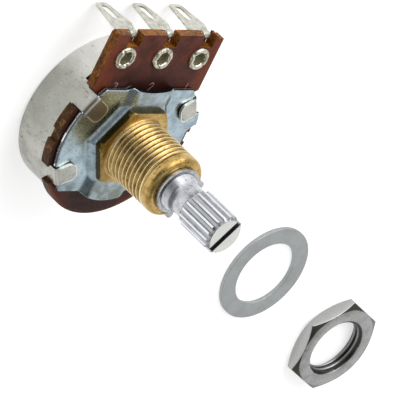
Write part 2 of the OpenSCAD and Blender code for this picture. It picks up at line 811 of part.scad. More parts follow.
// The thin hex nut, taken off and laid beside
module hex_nut() {
    r = hex_r(nut_af);
    color("lightgray") translate([nut_at[0], nut_at[1], can_z]) rotate([0, 0, nut_angle])
        difference() {
            intersection() {
                cylinder(h = nut_t, r = r, $fn = 6);
                union() {
                    cylinder(h = 0.4, r1 = nut_af / 2 + 0.15, r2 = r + 0.1);
                    translate([0, 0, 0.4]) cylinder(h = nut_t - 0.8, r = r + 0.1);
                    translate([0, 0, nut_t - 0.4])
                        cylinder(h = 0.4, r1 = r + 0.1, r2 = nut_af / 2 + 0.15);
                }
            }
            translate([0, 0, -1]) cylinder(h = nut_t + 2, r = nut_bore / 2, $fn = 96);
            translate([0, 0, -eps])
                cylinder(h = nut_sink + eps, r1 = nut_bore / 2 + nut_sink, r2 = nut_bore / 2);
            translate([0, 0, nut_t - nut_sink])
                cylinder(h = nut_sink + eps, r1 = nut_bore / 2, r2 = nut_bore / 2 + nut_sink);
        }
}

shaft();
retaining_ring();
bushing();
mounting_plate();
element_board();
cover();
terminal(1);  // terminal_1
terminal(2);  // terminal_2
terminal(3);  // terminal_3
eyelet(1);  // eyelet_1
eyelet(2);  // eyelet_2
eyelet(3);  // eyelet_3
carbon_track();
track_lead(1);  // track_lead_1
track_lead(3);  // track_lead_3
collector_ring();
thrust_washer();
wiper_spring();
rotor_disc();
flat_washer();
hex_nut();
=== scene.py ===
# %% [markdown]
# # A panel potentiometer, dressed in Blender
# The solids of this part come from a CAD file, already placed and sized. This lesson
# gives them the looks of the real thing: a turned brass thread, a pressed and plated
# sheet, a drawn tin cover, punched solder lugs and a serrated aluminium shaft.
# The lengths of the pieces are written in millimetres, as a maker reads them off a
# drawing, and turned into metres where a point is made. The camera and the lamp stand
# further off, so their places are in metres.

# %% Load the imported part
import math

import bmesh
import bpy
from mathutils import Matrix, Vector
from mathutils.geometry import delaunay_2d_cdt


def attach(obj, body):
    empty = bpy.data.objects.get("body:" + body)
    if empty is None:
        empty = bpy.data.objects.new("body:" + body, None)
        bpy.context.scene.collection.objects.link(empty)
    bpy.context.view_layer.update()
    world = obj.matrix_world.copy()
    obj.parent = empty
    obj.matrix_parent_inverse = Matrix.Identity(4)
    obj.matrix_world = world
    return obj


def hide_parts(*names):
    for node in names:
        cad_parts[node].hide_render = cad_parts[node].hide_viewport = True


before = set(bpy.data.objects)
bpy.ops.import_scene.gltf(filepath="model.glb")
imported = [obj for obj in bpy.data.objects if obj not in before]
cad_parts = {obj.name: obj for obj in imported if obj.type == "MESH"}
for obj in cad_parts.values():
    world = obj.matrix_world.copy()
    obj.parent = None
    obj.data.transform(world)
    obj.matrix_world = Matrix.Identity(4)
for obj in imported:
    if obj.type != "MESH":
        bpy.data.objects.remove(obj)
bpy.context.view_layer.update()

mm = 0.001
tau = 2 * math.pi
scene = bpy.context.scene
scene.view_settings.view_transform = "Standard"
print("nodes from the CAD file:", ", ".join(sorted(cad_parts)))

# %% [markdown]
# ## The camera
# The photograph was taken from above the terminals' left side, through a long lens.
# A camera's place and turn can be worked out from a dozen points whose real places are
# known, such as the eyelets and the corners of the hex flange. The three rows below are
# the picture's right, its down and the way into the picture, and they make the camera's
# own axes.

# %% Camera
right = Vector((0.689722, 0.411194, 0.59599))
down = Vector((-0.010868, -0.817134, 0.576346))
into = Vector((0.723993, -0.403995, -0.559126))
eye = Vector((-0.573127, 0.321153, 0.456634))
sensor, focal_pixels, picture_pixels = 36, 5906.92, 400
lens = bpy.data.cameras.new("lens")
lens.sensor_width = sensor
lens.lens = focal_pixels / picture_pixels * sensor
lens.clip_start = 0.05
camera = bpy.data.objects.new("camera", lens)
camera.matrix_world = (Matrix.Translation(eye)
                       @ Matrix((right, -down, -into)).transposed().to_4x4())
scene.collection.objects.link(camera)
scene.camera = camera
print("the lens is", round(lens.lens), "mm long, so the picture is nearly free of perspective")

# %% [markdown]
# ## Small tools for materials
# A material is a small machine of nodes. They can be wired by hand in the editor; in a
# script one line per node keeps the machine readable. `node` adds one and fills its
# sockets, with a value or with a link, and the other two do a step of arithmetic.

# %% Node helpers
def node(tree, kind, **parts):
    """Adds one shader node. A small first letter is a setting, a capital one a socket,
    and In0, In1 ... are sockets by number."""
    made = tree.nodes.new("ShaderNode" + kind)
    for key, value in parts.items():
        if key[0].islower():
            setattr(made, key, value)
            continue
        number = key[2:] if key[:2] == "In" and key[2:].isdigit() else None
        socket = made.inputs[int(number) if number else key.replace("_", " ")]
        if isinstance(value, bpy.types.NodeSocket):
            tree.links.new(value, socket)
        else:
            socket.default_value = value
    return made


def calc(tree, operation, first, second=0.0):
    """One step of arithmetic with numbers."""
    return node(tree, "Math", operation=operation, In0=first, In1=second).outputs[0]


def vector_calc(tree, operation, first, second=(0, 0, 0)):
    """One step of arithmetic with points; a length or a product is a number."""
    made = node(tree, "VectorMath", operation=operation, In0=first, In1=second)
    return made.outputs["Value" if operation in ("LENGTH", "DOT_PRODUCT") else "Vector"]


print("three helpers write the nodes: node, calc and vector_calc")

# %% [markdown]
# ## Where a point is on the piece
# Dirt collects in grooves and edges wear bright, so a finish has to know where it is.
# Painting that by hand would need an unwrapped mesh. Here it is read from the point's
# own place in the part, its distance from the shaft's axis and the way its surface
# faces. These belong to the piece, so the marks stay put from every side.

# %% Places on a piece
def in_millimetres(tree, stretch=(1, 1, 1)):
    """The point being shaded, in the part's own axes, counted in millimetres."""
    where = node(tree, "TexCoord").outputs["Object"]
    return vector_calc(tree, "MULTIPLY", where, tuple(s / mm for s in stretch))


def place_of(tree, centre=(0, 0, 0)):
    """The point's x, y and z from a centre."""
    from_centre = vector_calc(tree, "SUBTRACT", in_millimetres(tree), centre)
    return node(tree, "SeparateXYZ", Vector=from_centre).outputs


def reach_of(tree, x, y):
    """How far out a point lies, from how far it is along and across."""
    return vector_calc(tree, "LENGTH", node(tree, "CombineXYZ", X=x, Y=y).outputs[0])


def tilt_of(tree):
    """1 where the surface looks along the shaft, 0 on its sides, -1 where it looks back."""
    normal = node(tree, "TexCoord").outputs["Normal"]
    return node(tree, "SeparateXYZ", Vector=normal).outputs["Z"]


def level_of(tree):
    """1 on a flat that is square to the shaft, front or back, and 0 on a side."""
    return calc(tree, "ABSOLUTE", tilt_of(tree))


def noise(tree, where, scale, detail=4, rough=0.55):
    """Cloudy noise, with so many waves a millimetre."""
    return node(tree, "TexNoise", Vector=where, Scale=scale, Detail=detail,
                Roughness=rough).outputs["Fac"]


print("the textures count", round(1 / mm), "units to the metre, one a millimetre")

# %% [markdown]
# ## Masks and tones
# A mask is a number from 0 to 1 that says how much of something shows. `between` makes
# one from any measure, `band` makes a strip of it, and `both` keeps what masks share.
# `layered` then lays one tone over another, the way a painter glazes.

# %% Masks and tones
def between(tree, value, low, high, start=0.0, end=1.0):
    """Turns the stretch from low to high into start to end, softly at both ends."""
    return node(tree, "MapRange", interpolation_type="SMOOTHSTEP", Value=value, From_Min=low,
                From_Max=high, To_Min=start, To_Max=end).outputs["Result"]


def both(tree, first, *others):
    """Where all the masks agree."""
    for other in others:
        first = calc(tree, "MULTIPLY", first, other)
    return first


def band(tree, value, start, full, fall, end, most=1.0):
    """A strip: it comes up from start to full and goes down again from fall to end."""
    return both(tree, between(tree, value, start, full),
                between(tree, value, fall, end, most, 0.0))


def mix(tree, how_much, first, second):
    """Mixes two colours."""
    return node(tree, "MixRGB", Fac=how_much, Color1=first, Color2=second).outputs["Color"]


def rgb(red, green, blue):
    """A colour as a picture editor gives it, 0 to 255, in the light's own scale."""
    return tuple(((v / 255 + 0.055) / 1.055) ** 2.4 if v > 10 else v / 3294
                 for v in (red, green, blue)) + (1.0,)


def layered(tree, base, *layers):
    """Lays tones over a colour in turn, each where its mask says."""
    for mask, tone in layers:
        base = mix(tree, mask, base, rgb(*tone))
    return base


def tint(finish, *layers):
    """Lays tones over the colour that a finish already has."""
    tree = finish.node_tree
    socket = tree.nodes["Principled BSDF"].inputs["Base Color"]
    tree.links.new(layered(tree, socket.links[0].from_socket, *layers), socket)


print("a mid grey of 128 is", round(rgb(128, 128, 128)[0], 3), "of white in the light's scale")

# %% [markdown]
# ## A metal finish
# Real sheet metal is never one colour. It has clouds from handling, small dark specks
# where the plating is pitted, and a grain that breaks up the reflections. The same
# recipe serves every metal here, with other numbers: clouds and specks change the
# colour, the grain changes the roughness and, through a bump, the surface itself.

# %% Metal recipe
def new_finish(name):
    """A fresh material, its tree and its shader."""
    made = bpy.data.materials.new(name)
    made.use_nodes = True
    return made, made.node_tree, made.node_tree.nodes["Principled BSDF"]


def connect(tree, shader, base, rough, height, strength, depth):
    """Gives a shader its colour, its roughness and a relief some depth in millimetres."""
    bump = node(tree, "Bump", Strength=strength, Distance=depth * mm, Height=height)
    tree.links.new(base, shader.inputs["Base Color"])
    tree.links.new(rough, shader.inputs["Roughness"])
    tree.links.new(bump.outputs["Normal"], shader.inputs["Normal"])


def metal(name, colour, cloud, speck, rough, grain=(1, 1, 1), speck_share=0.5, relief=0.006,
          cloud_size=2.5, rough_swing=0.08):
    """A metal with clouds, specks and grain; sizes in millimetres, colours 0 to 255."""
    made, tree, shader = new_finish(name)
    shader.inputs["Metallic"].default_value = 1.0
    plain = in_millimetres(tree)
    clouds = between(tree, noise(tree, plain, 1 / cloud_size, 5), 0.38, 0.68)
    specks = between(tree, noise(tree, plain, 2.2, 3, 0.6), 0.60, 0.68, 0, speck_share)
    fine = noise(tree, in_millimetres(tree, grain), 5.0, 6, 0.7)
    base = layered(tree, mix(tree, clouds, rgb(*colour), rgb(*cloud)), (specks, speck))
    rough_now = between(tree, fine, 0.25, 0.75, rough - rough_swing, rough + rough_swing)
    pits = node(tree, "Math", operation="MULTIPLY_ADD", In0=specks, In1=-1.5, In2=fine)
    connect(tree, shader, base, rough_now, pits.outputs[0], 1.0, relief)
    return made


def wear(piece, finish):
    """Gives a piece its finish."""
    piece.data.materials.clear()
    piece.data.materials.append(finish)
    print(f"{piece.name} wears {finish.name}, {len(finish.node_tree.nodes)} nodes")
    return piece


print("one recipe serves every metal, with numbers of its own for each")

# %% [markdown]
# ## Softened edges on the CAD solids
# A CAD edge is perfectly sharp, and a perfectly sharp edge never catches the light.
# The Bevel modifier breaks each edge by a few hundredths of a millimetre, as a press
# tool or a tumbling barrel does. The imported mesh is split along its edges, so Weld
# joins it first, and Decimate in planar mode clears the triangles that lie in one
# plane, so that the bevel runs clean. Weighted normals keep the flats flat. Modifiers
# leave the solid's own mesh as it came, which cutting the bevels by hand would not.

# %% Edge breaker
weld_reach = 0.0005
flat_enough, sharp_enough = math.radians(0.3), math.radians(28)


def break_edges(piece, width, rows=2):
    """Rounds the sharp edges of a CAD node by a width in millimetres."""
    weld = piece.modifiers.new("weld", "WELD")
    weld.merge_threshold = weld_reach * mm
    flat = piece.modifiers.new("flat", "DECIMATE")
    flat.decimate_type = "DISSOLVE"
    flat.angle_limit = flat_enough
    edge = piece.modifiers.new("edge", "BEVEL")
    edge.width = width * mm
    edge.segments = rows
    edge.limit_method = "ANGLE"
    edge.angle_limit = sharp_enough
    edge.miter_outer = "MITER_ARC"
    smooth = piece.modifiers.new("smooth", "WEIGHTED_NORMAL")
    smooth.keep_sharp = False
    smooth.weight = 80
    print(f"{piece.name}: edges broken by {width} mm in {rows} rows")
    return piece


print("edges sharper than", round(math.degrees(sharp_enough)), "degrees get broken")

# %% [markdown]
# ## Mesh kit for turned pieces
# Everything that comes off a lathe is a stack of rings. The Screw modifier could spin a
# profile, but only into round shapes. Here `ring` puts one ring of points at a height
# and `skins` spans rings with faces. A radius may change round the turn, so a hexagon
# is a ring too, and one kit makes the flange, the shaft's teeth and the nut.

# %% Rings and skins
columns = 216
turn = [tau * c / columns for c in range(columns)]


def ring(bm, radius, height, at=turn):
    """One ring of points; radius and height may be numbers or depend on the angle."""
    made = []
    for a in at:
        r = radius(a) if callable(radius) else radius
        z = height(a) if callable(height) else height
        made.append(bm.verts.new((r * math.cos(a) * mm, r * math.sin(a) * mm, z * mm)))
    return made


def skins(bm, *rings):
    """Spans a row of rings with four-sided faces, each ring with the next."""
    for lower, upper in zip(rings, rings[1:]):
        for c in range(len(lower)):
            d = (c + 1) % len(lower)
            bm.faces.new((lower[c], lower[d], upper[d], upper[c]))


def hexagon(across):
    """The radius of a hexagon with corners on X, round the turn."""
    return lambda a: across / 2 / math.cos(a % (tau / 6) - tau / 12)


def limited(shape, most, inset=0):
    """A shape drawn in a little, and cut to a circle where it reaches further."""
    return lambda a: min(shape(a) - inset, most)


print("a turn has", columns, "columns, one every", round(360 / columns, 2), "degrees")

# %% [markdown]
# ## From mesh to piece
# Every mesh is cleaned the same way before it becomes a piece: points that coincide
# are joined, slivers go, and the faces are turned to look outwards. It is shaded smooth
# but for its sharp edges. A closed mesh uses each edge twice, and that is counted,
# because a hole that can't be seen still spoils a printed or simulated part.

# %% Piece maker
join_reach, sliver = 0.0002, 0.0001


def piece_of(mesh, name, body, angle=35):
    """Makes a piece of a mesh, smooth but for edges sharper than the angle."""
    mesh.name = name
    mesh.shade_smooth()
    mesh.set_sharp_from_angle(angle=math.radians(angle))
    piece = bpy.data.objects.new(name, mesh)
    scene.collection.objects.link(piece)
    uses = [0] * len(mesh.edges)
    for loop in mesh.loops:
        uses[loop.edge_index] += 1
    open_edges = sum(1 for count in uses if count != 2)
    print(f"{name}: {len(mesh.polygons)} faces, {open_edges} open edges")
    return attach(piece, body)


def mesh_from(bm, name):
    """Cleans what was built and turns it into a mesh."""
    bmesh.ops.remove_doubles(bm, verts=bm.verts, dist=join_reach * mm)
    bmesh.ops.dissolve_degenerate(bm, dist=sliver * mm, edges=bm.edges)
    bmesh.ops.recalc_face_normals(bm, faces=bm.faces)
    mesh = bpy.data.meshes.new(name)
    bm.to_mesh(mesh)
    bm.free()
    return mesh


def piece_from(bm, name, body, angle=35):
    """Cleans what was built and makes a piece of it."""
    return piece_of(mesh_from(bm, name), name, body, angle)


print("points nearer than", join_reach, "mm count as one")

# %% [markdown]
# ## The screw surface
# A thread cut by a die is one long ridge that climbs by its pitch each turn. If the
# rows of a mesh were level, the ridge would cross them and look chipped, so here the
# rows climb with the ridge: after one turn a row meets the one that is a whole pitch
# higher. At both ends the rows are held level, where the ridge fades out.

# %% Screw surface
def screw(bm, low, high, pitch, radius, per=10):
    """A threaded wall from low to high, with so many rows to a pitch; the radius is
    radius(place on the ridge, height). Returns its lowest and its highest ring."""
    first = math.floor(per * (low / pitch - 1)) - 1
    last = math.ceil(per * high / pitch) + 1
    found = {}

    def point(k, c):
        if c == columns:
            k, c = k + per, 0
        z = min(max(pitch * (k / per + c / columns), low), high)
        key = (c, round(z, 6))
        if key not in found:
            a = tau * c / columns
            r = radius((z / pitch - c / columns) % 1.0, z)
            found[key] = bm.verts.new((r * math.cos(a) * mm, r * math.sin(a) * mm, z * mm))
        return found[key]

    for k in range(first, last):
        for c in range(columns):
            corners = []
            for v in (point(k, c), point(k, c + 1), point(k + 1, c + 1), point(k + 1, c)):
                if v not in corners:
                    corners.append(v)
            if len(corners) > 2:
                bm.faces.new(corners)
    return [[found[(c, round(z, 6))] for c in range(columns)] for z in (low, high)]


def ridge(place, crest=0.14, root=0.16):
    """Height of the ridge, 0 in the root to 1 on the crest, round one pitch."""
    side = abs(2 * place - 1)
    return min(max((side - root) / (1 - root - crest), 0), 1)


def fade(height, start, end):
    """0 before start, 1 after end, softly."""
    t = min(max((height - start) / (end - start), 0), 1)
    return t * t * (3 - 2 * t)


print("the ridge's height round a pitch:", [round(ridge(i / 8), 2) for i in range(9)])

# %% [markdown]
# ## Brass bushing
# The bushing is turned from hexagonal brass rod: the hex that is left is the flange
# that seats behind the panel, and a die cuts 32 turns to the inch on the rest. Only the
# last turns are left plain, with a round nose that helps the nut to start. A bump map
# would give the thread's shading but not its outline, so it is cut in the mesh, which
# follows the tool's path: hex rings, a small fillet, the screw, the nose and the bore.

# %% Bushing shape
thread_radius, thread_pitch, thread_cut = 9.525 / 2, 25.4 / 32, 0.27
thread_foot, thread_top, cut_starts, cut_ends = 0.3, 8.55, (0.35, 1.1), (7.3, 8.1)
flange_across, flange_low, any_radius = 11.305, -1.0, 99
hub_radius, hub_low, bore_radius, bore_mouth = 3.8, -2.0, 3.03, 9.15
bushing_end, nose = 9.5, 0.9


def bushing_wall(place, height):
    """The radius of the cut thread, which fades out at the flange and at the nose."""
    cut = thread_cut * fade(height, *cut_starts) * (1 - fade(height, *cut_ends))
    return thread_radius - cut * (1 - ridge(place))


bm = bmesh.new()
hex_side = hexagon(flange_across)
thread_low, thread_high = screw(bm, thread_foot, thread_top, thread_pitch, bushing_wall)
# the flange, from the hub outwards: largest radius, inset from the hexagon, height
flange_rows = ((5.2, 0, flange_low), (any_radius, 0.05, flange_low),
               (any_radius, 0, flange_low + 0.05), (6.40, 0, -0.20), (6.18, 0, -0.07),
               (6.10, 0.02, -0.03), (6.02, 0.07, 0.0))
fillet_rows = ((5.05, 0.0), (4.86, 0.05), (4.78, 0.15))
nose_rows = [(thread_radius - nose * (1 - math.cos(t)), bushing_end - nose * (1 - math.sin(t)))
             for t in (0, 0.2, 0.42, 0.64, 0.86, 1.08, 1.30, 1.48)]
mouth_rows = ((3.80, bushing_end), (3.42, bushing_end), (3.36, 9.48),
              (bore_radius, bore_mouth))
skins(bm, ring(bm, bore_radius, bore_mouth), ring(bm, bore_radius, hub_low),
      ring(bm, hub_radius, hub_low),
      *[ring(bm, limited(hex_side, most, inset), z) for most, inset, z in flange_rows],
      *[ring(bm, r, z) for r, z in fillet_rows], thread_low)
skins(bm, thread_high, *[ring(bm, r, z) for r, z in (*nose_rows, *mouth_rows)])
bushing = piece_from(bm, "threaded_bushing", "housing", 40)
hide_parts("bushing")

# %% [markdown]
# ### Brass finish
# Turned brass gathers patchy dirt in its grooves, and the grooves also get painted
# shade; its crests get a painted highlight over their rubbed wear. The flange's sides
# get painted shade, and the flange is painted darker towards -x. Each of these marks is
# a strip of the distance from the axis or of the height, laid over the metal recipe, and
# the grain is squeezed along the axis, like the fine rings that a turning tool leaves.

# %% Brass
brass = metal("turned_brass", (196, 166, 104), (164, 132, 74), (70, 50, 24), 0.27,
              grain=(1, 1, 6), speck_share=0.75, relief=0.008, cloud_size=1.1)
tree = brass.node_tree
x, y, z = place_of(tree)
out = reach_of(tree, x, y)
on_thread = band(tree, z, 0.1, 0.5, 7.7, 8.2)
grime = between(tree, noise(tree, in_millimetres(tree), 0.7, 4, 0.6), 0.42, 0.62, 0.45, 1.0)
# groove: patchy dirt plus painted shade, dark brown down in the thread's grooves
groove = both(tree, between(tree, out, 4.50, 4.70, 0.8, 0.0), on_thread, grime)
# crest: painted highlight on the thread's crests, over their rubbed wear
crest = both(tree, between(tree, out, 4.715, 4.752, 0.0, 0.85), on_thread)
on_flange = between(tree, out, 4.95, 5.15)
# painted shade: the flange is painted darker towards -x
painted_shade_flange_left = both(tree, on_flange, between(tree, x, -3.0, 0.0, 0.55, 0))
# painted shade on the flange's side walls
flange_side_painted_shade = both(tree, on_flange, between(tree, level_of(tree), 0.2, 0.6, 0.8, 0))
tint(brass, (groove, (102, 63, 20)), (crest, (240, 224, 178)), (painted_shade_flange_left, (104, 84, 44)),
     (flange_side_painted_shade, (70, 58, 28)))
wear(bushing, brass)

# %% [markdown]
# ## The plate's press form
# The mounting plate is blanked and pressed in one stroke: a rib across it and a raised
# hexagon under the flange, both 0.8 mm high with sloping walls. A press never makes a
# sharp crease, so the height below is averaged over a small width. A height that can be
# asked at any point is easier to get right than extruded and bevelled blocks.

# %% Press form
plate_low, plate_raise, sheet = -1.8, 0.8, 0.85
rib_foot, rib_slope, seat_border, seat_slope = 4.5, 1.5, 0.95, 0.7
crease = [0.06 * k for k in range(-4, 5)]


def step_up(distance, foot, slope):
    """A sloping wall with soft ends: 1 inside, 0 beyond its foot."""
    walls = [min(max((foot - distance - off) / slope, 0), 1) for off in crease]
    return sum(walls) / len(walls)


def press_height(x, y):
    """Height of the plate's front over its flat, in millimetres."""
    rib = step_up(abs(x), rib_foot, rib_slope)
    reach = max(abs(x * math.cos(a) + y * math.sin(a))
                for a in (tau / 12, 3 * tau / 12, 5 * tau / 12))
    return plate_raise * max(rib, step_up(reach, flange_across / 2 + seat_border, seat_slope))


print("the plate rises", round(press_height(0, 0), 2), "mm at its middle")

# %% [markdown]
# ## The plate's plan
# The blank has two straight edges and two round ones, a rounded rib end at the bottom,
# two points with a hollow between them at the top, a locating notch between two ears at
# the right, and four seats for the cover's tabs. Seen from the axis each of them is a
# distance in a direction, so one function joins them, the furthest or the nearest first.

# %% Plate plan
round_edge, straight_edge = 11.8, 8.3
rib_end_y, rib_end = 0.85, 10.2
point_top, point_side, point_cut = 8.85, 4.5, 8.70
hollow_y, hollow = 22.3, 14
ear_reach, ear_half = 12.5, 5.9
notch_floor, notch_half, notch_slant, notch_wall = 10.85, 1.5, 2.45 / 11.8, 9.35
tab_seat, tab_seat_half = 11.25, 1.65
tiny = 1e-9


def plate_reach(a):
    """How far the plate's plan reaches from the axis at an angle."""
    c, s = math.cos(a), math.sin(a)
    side, up = max(abs(c), tiny), max(abs(s), tiny)
    reach = min(round_edge, straight_edge / up)
    if s < 0:
        reach = max(reach, rib_end_y * s + math.sqrt(rib_end ** 2 - (rib_end_y * c) ** 2))
    else:
        reach = max(reach, min(point_top / up, point_side / side,
                               point_cut / (0.55 * side + 0.75 * up)))
    if c > 0:
        reach = max(reach, min(ear_reach, ear_half / up))
        if notch_floor * up / side < notch_half:
            reach = notch_floor / c
        elif up / side < notch_slant:
            reach = notch_wall / (side - up)
    if s > 0 and abs(hollow_y * c) < hollow:
        reach = min(reach, hollow_y * s - math.sqrt(hollow ** 2 - (hollow_y * c) ** 2))
    off = math.radians(abs(math.degrees(a) % 60 - 30))
    if abs(s) < 0.9 and tab_seat * math.tan(off) < tab_seat_half:
        reach = min(reach, tab_seat / math.cos(off))
    return reach


print("the plate reaches", [round(plate_reach(tau * q / 4), 2) for q in range(4)], "mm")

# %% [markdown]
# ### A clean outline
# The plan is walked in twentieths of a degree, which gives far too many points. They
# are thinned to those that keep the shape, and long edges are divided evenly again, so
# that the faces along the edge come out alike.

# %% Plate outline
outline_steps, outline_slack, shortest_edge, longest_edge = 7200, 0.004, 0.06, 0.28


def thinned(line, slack):
    """The points of a line that keep its shape to within a slack."""
    keep, spans = {0, len(line) - 1}, [(0, len(line) - 1)]
    while spans:
        i, j = spans.pop()
        (x0, y0), (x1, y1) = line[i], line[j]
        most, at, span = slack, None, math.dist(line[i], line[j])
        for k in range(i + 1, j):
            x, y = line[k]
            off = abs((x1 - x0) * (y0 - y) - (x0 - x) * (y1 - y0)) / span
            if off > most:
                most, at = off, k
        if at:
            keep.add(at)
            spans += [(i, at), (at, j)]
    return [line[k] for k in sorted(keep)]


def spaced(loop, most):
    """The loop with its long edges divided evenly."""
    made = []
    for (x0, y0), (x1, y1) in zip(loop, loop[1:] + loop[:1]):
        parts = math.ceil(math.dist((x0, y0), (x1, y1)) / most)
        made += [(x0 + (x1 - x0) * t / parts, y0 + (y1 - y0) * t / parts)
                 for t in range(parts)]
    return made


walked = []
for t in range(outline_steps + 1):
    a = tau * t / outline_steps
    walked.append((plate_reach(a) * math.cos(a), plate_reach(a) * math.sin(a)))
half = outline_steps // 2
corners = (thinned(walked[: half + 1], outline_slack)[:-1]
           + thinned(walked[half:], outline_slack)[:-1])
corners = [p for p, q in zip(corners, corners[1:] + corners[:1])
           if math.dist(p, q) > shortest_edge]
outline = spaced(corners, longest_edge)
print("plate outline:", len(corners), "corners,", len(outline), "points")

# %% [markdown]
# ### From outline to sheet
# `delaunay_2d_cdt` fills an outline with triangles and also takes points inside it. A
# grid of inner points lets the sheet bend; the outline is drawn in a little for the
# flat, and the rings outside it make the rolled edge and the sheared side.

# %% Sheet builder
furthest, surely_inside, beyond_hole = 13, 7.8, 6


def inside(point, loop):
    """Whether a point lies in a closed outline."""
    x, y = point
    hit = False
    for (x0, y0), (x1, y1) in zip(loop, loop[1:] + loop[:1]):
        if (y0 > y) != (y1 > y) and x < x0 + (y - y0) * (x1 - x0) / (y1 - y0):
            hit = not hit
    return hit


def drawn_in(loop, by):
    """The outline moved inwards by a distance, corner by corner."""
    made = []
    for i, (x, y) in enumerate(loop):
        px, py = loop[i - 1]
        nx, ny = loop[(i + 1) % len(loop)]
        a, b = Vector((x - px, y - py)).normalized(), Vector((nx - x, ny - y)).normalized()
        normal = Vector((-(a.y + b.y), a.x + b.x))
        length = normal.length or 1
        normal /= length
        stretched = max(length / 2, 0.5)
        made.append((x + normal.x * by / stretched, y + normal.y * by / stretched))
    return made


def fill(loop, hole, spacing):
    """Triangles that fill the outline but for its hole, with points inside."""
    n, m = len(loop), len(hole)
    points = [Vector(p) for p in loop + hole]
    edges = [(i, (i + 1) % n) for i in range(n)]
    edges += [(n + i, n + (i + 1) % m) for i in range(m)]
    near_loop = drawn_in(loop, spacing * 0.55)
    hole_reach = math.hypot(*hole[0]) + spacing * 0.6
    count = math.ceil(furthest / spacing)
    for i in range(-count, count + 1):
        for j in range(-count, count + 1):
            p = (i * spacing, j * spacing + (spacing / 2 if i % 2 else 0))
            out = math.hypot(*p)
            if hole_reach < out < furthest and (out < surely_inside or inside(p, near_loop)):
                points.append(Vector(p))
    made, _, faces, _, _, _ = delaunay_2d_cdt(points, edges, [], 0, 1e-5)
    kept = []
    for f in faces:
        middle = sum((made[i] for i in f), Vector((0, 0))) / len(f)
        if max(f) >= n + m or (math.hypot(*middle) > beyond_hole and inside(middle, loop)):
            kept.append(list(f))
    return made, kept


roll, hole_points, hole_radius, grid = 0.11, 64, 4.1, 0.27
hole_ring = [(hole_radius * math.cos(tau * i / hole_points),
              hole_radius * math.sin(tau * i / hole_points)) for i in range(hole_points)]
plan, triangles = fill(drawn_in(outline, roll), hole_ring, grid)
print("the plate's plan:", len(plan), "points,", len(triangles), "triangles")

# %% [markdown]
# ### The mounting plate
# The plan is lifted twice, once for the front and once, a sheet's thickness lower, for
# the back. Between them the edge goes round in a few rows: three for the roll-over that
# the blanking punch leaves on the front, then the straight sheared side. The hole for
# the bushing's hub gets its own wall.

# %% Mounting plate
roll_angles, back_edge = (22, 45, 68), 0.04
bm = bmesh.new()
front = [bm.verts.new((p.x * mm, p.y * mm, (plate_low + press_height(p.x, p.y)) * mm))
         for p in plan]
back = [bm.verts.new((p.x * mm, p.y * mm, (plate_low - sheet + press_height(p.x, p.y)) * mm))
        for p in plan]
for f in triangles:
    bm.faces.new([front[i] for i in f])
    bm.faces.new([back[i] for i in reversed(f)])


def edge_line(shift, drop):
    """One line of points round the sheet's edge."""
    line = []
    for x, y in drawn_in(outline, shift) if shift else outline:
        z = plate_low + press_height(x, y) - drop
        line.append(bm.verts.new((x * mm, y * mm, z * mm)))
    return line


lines = [front[: len(outline)]]
for a in (math.radians(t) for t in roll_angles):
    lines.append(edge_line(roll * (1 - math.sin(a)), roll * (1 - math.cos(a))))
lines += [edge_line(0, roll), edge_line(0, sheet - back_edge), back[: len(outline)]]
for one, two in zip(lines, lines[1:]):
    for i in range(len(outline)):
        j = (i + 1) % len(outline)
        bm.faces.new((one[i], two[i], two[j], one[j]))
for i in range(hole_points):
    a, b = len(outline) + i, len(outline) + (i + 1) % hole_points
    bm.faces.new((front[a], front[b], back[b], back[a]))
plate = piece_from(bm, "pressed_plate", "housing", 40)
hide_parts("mounting_plate")

# %% [markdown]
# ### Zinc finish
# Bright zinc has a cold, bluish grey. Handling leaves dull clouds, more of them low on
# the plate and on the top of the rib, which rubs. The sheared side gets painted shade,
# with a thin painted highlight along the punch's burnished line. The way the surface
# faces tells side from flat, and the height finds the rib's top and the line.

# %% Zinc
zinc = metal("zinc_plate", (172, 190, 199), (144, 160, 168), (70, 76, 78), 0.25,
             speck_share=0.6, relief=0.006, cloud_size=2.0)
tree = zinc.node_tree
_, y, z = place_of(tree)
stain = between(tree, noise(tree, in_millimetres(tree), 0.5, 4), 0.4, 0.6, 0.3, 0.75)
sheared = between(tree, level_of(tree), 0.15, 0.5, 0.9, 0.0)
tint(zinc,
     (both(tree, between(tree, y, -8.2, -5.6, 1, 0), stain), (98, 104, 104)),
     (both(tree, between(tree, z, -1.12, -1.03, 0, 0.6), stain), (128, 130, 112)),
     # painted shade on the plate's sheared side
     (sheared, (44, 38, 38)),
     # painted highlight: a near-white line along the sheared side's burnished band
     (both(tree, sheared, band(tree, z, -2.44, -2.36, -2.18, -2.08)), (226, 230, 234)))
wear(plate, zinc)

# %% [markdown]
# ## Laminated board: the face
# The board is punched from phenolic laminate, layers of paper in a red-brown resin. Its
# face is smooth. Painted light makes it lighter and more orange at the free ends and on
# the lower rim, and painted shade makes it nearly black in the middle near the plate and
# under the tabs. A photograph could be wrapped on it, but soft strips of place keep the
# tones sharp at any distance.

# %% Board face
board_finish, tree, shader = new_finish("phenolic_board")
x, y, _ = place_of(tree)
out = reach_of(tree, x, y)
aside = calc(tree, "ABSOLUTE", x)
clouds = between(tree, noise(tree, in_millimetres(tree), 0.45, 5), 0.35, 0.7)
streaks = noise(tree, in_millimetres(tree, (1, 0.25, 1)), 2.6, 5, 0.65)
# painted light: the free ends and the lower rim are painted lighter and more orange
painted_light_ends = both(tree, between(tree, aside, 7.0, 11.5, 0, 0.7), between(tree, y, 6.0, 9.0))
painted_light_rim = both(tree, between(tree, out, 11.9, 12.5, 0, 0.8), between(tree, y, -4.0, -8.0))
# painted shade on the board under the cover's tabs
painted_shade_under_tabs = both(tree, between(tree, aside, 9.0, 11.0, 0, 0.7), between(tree, y, 7.5, 6.0))
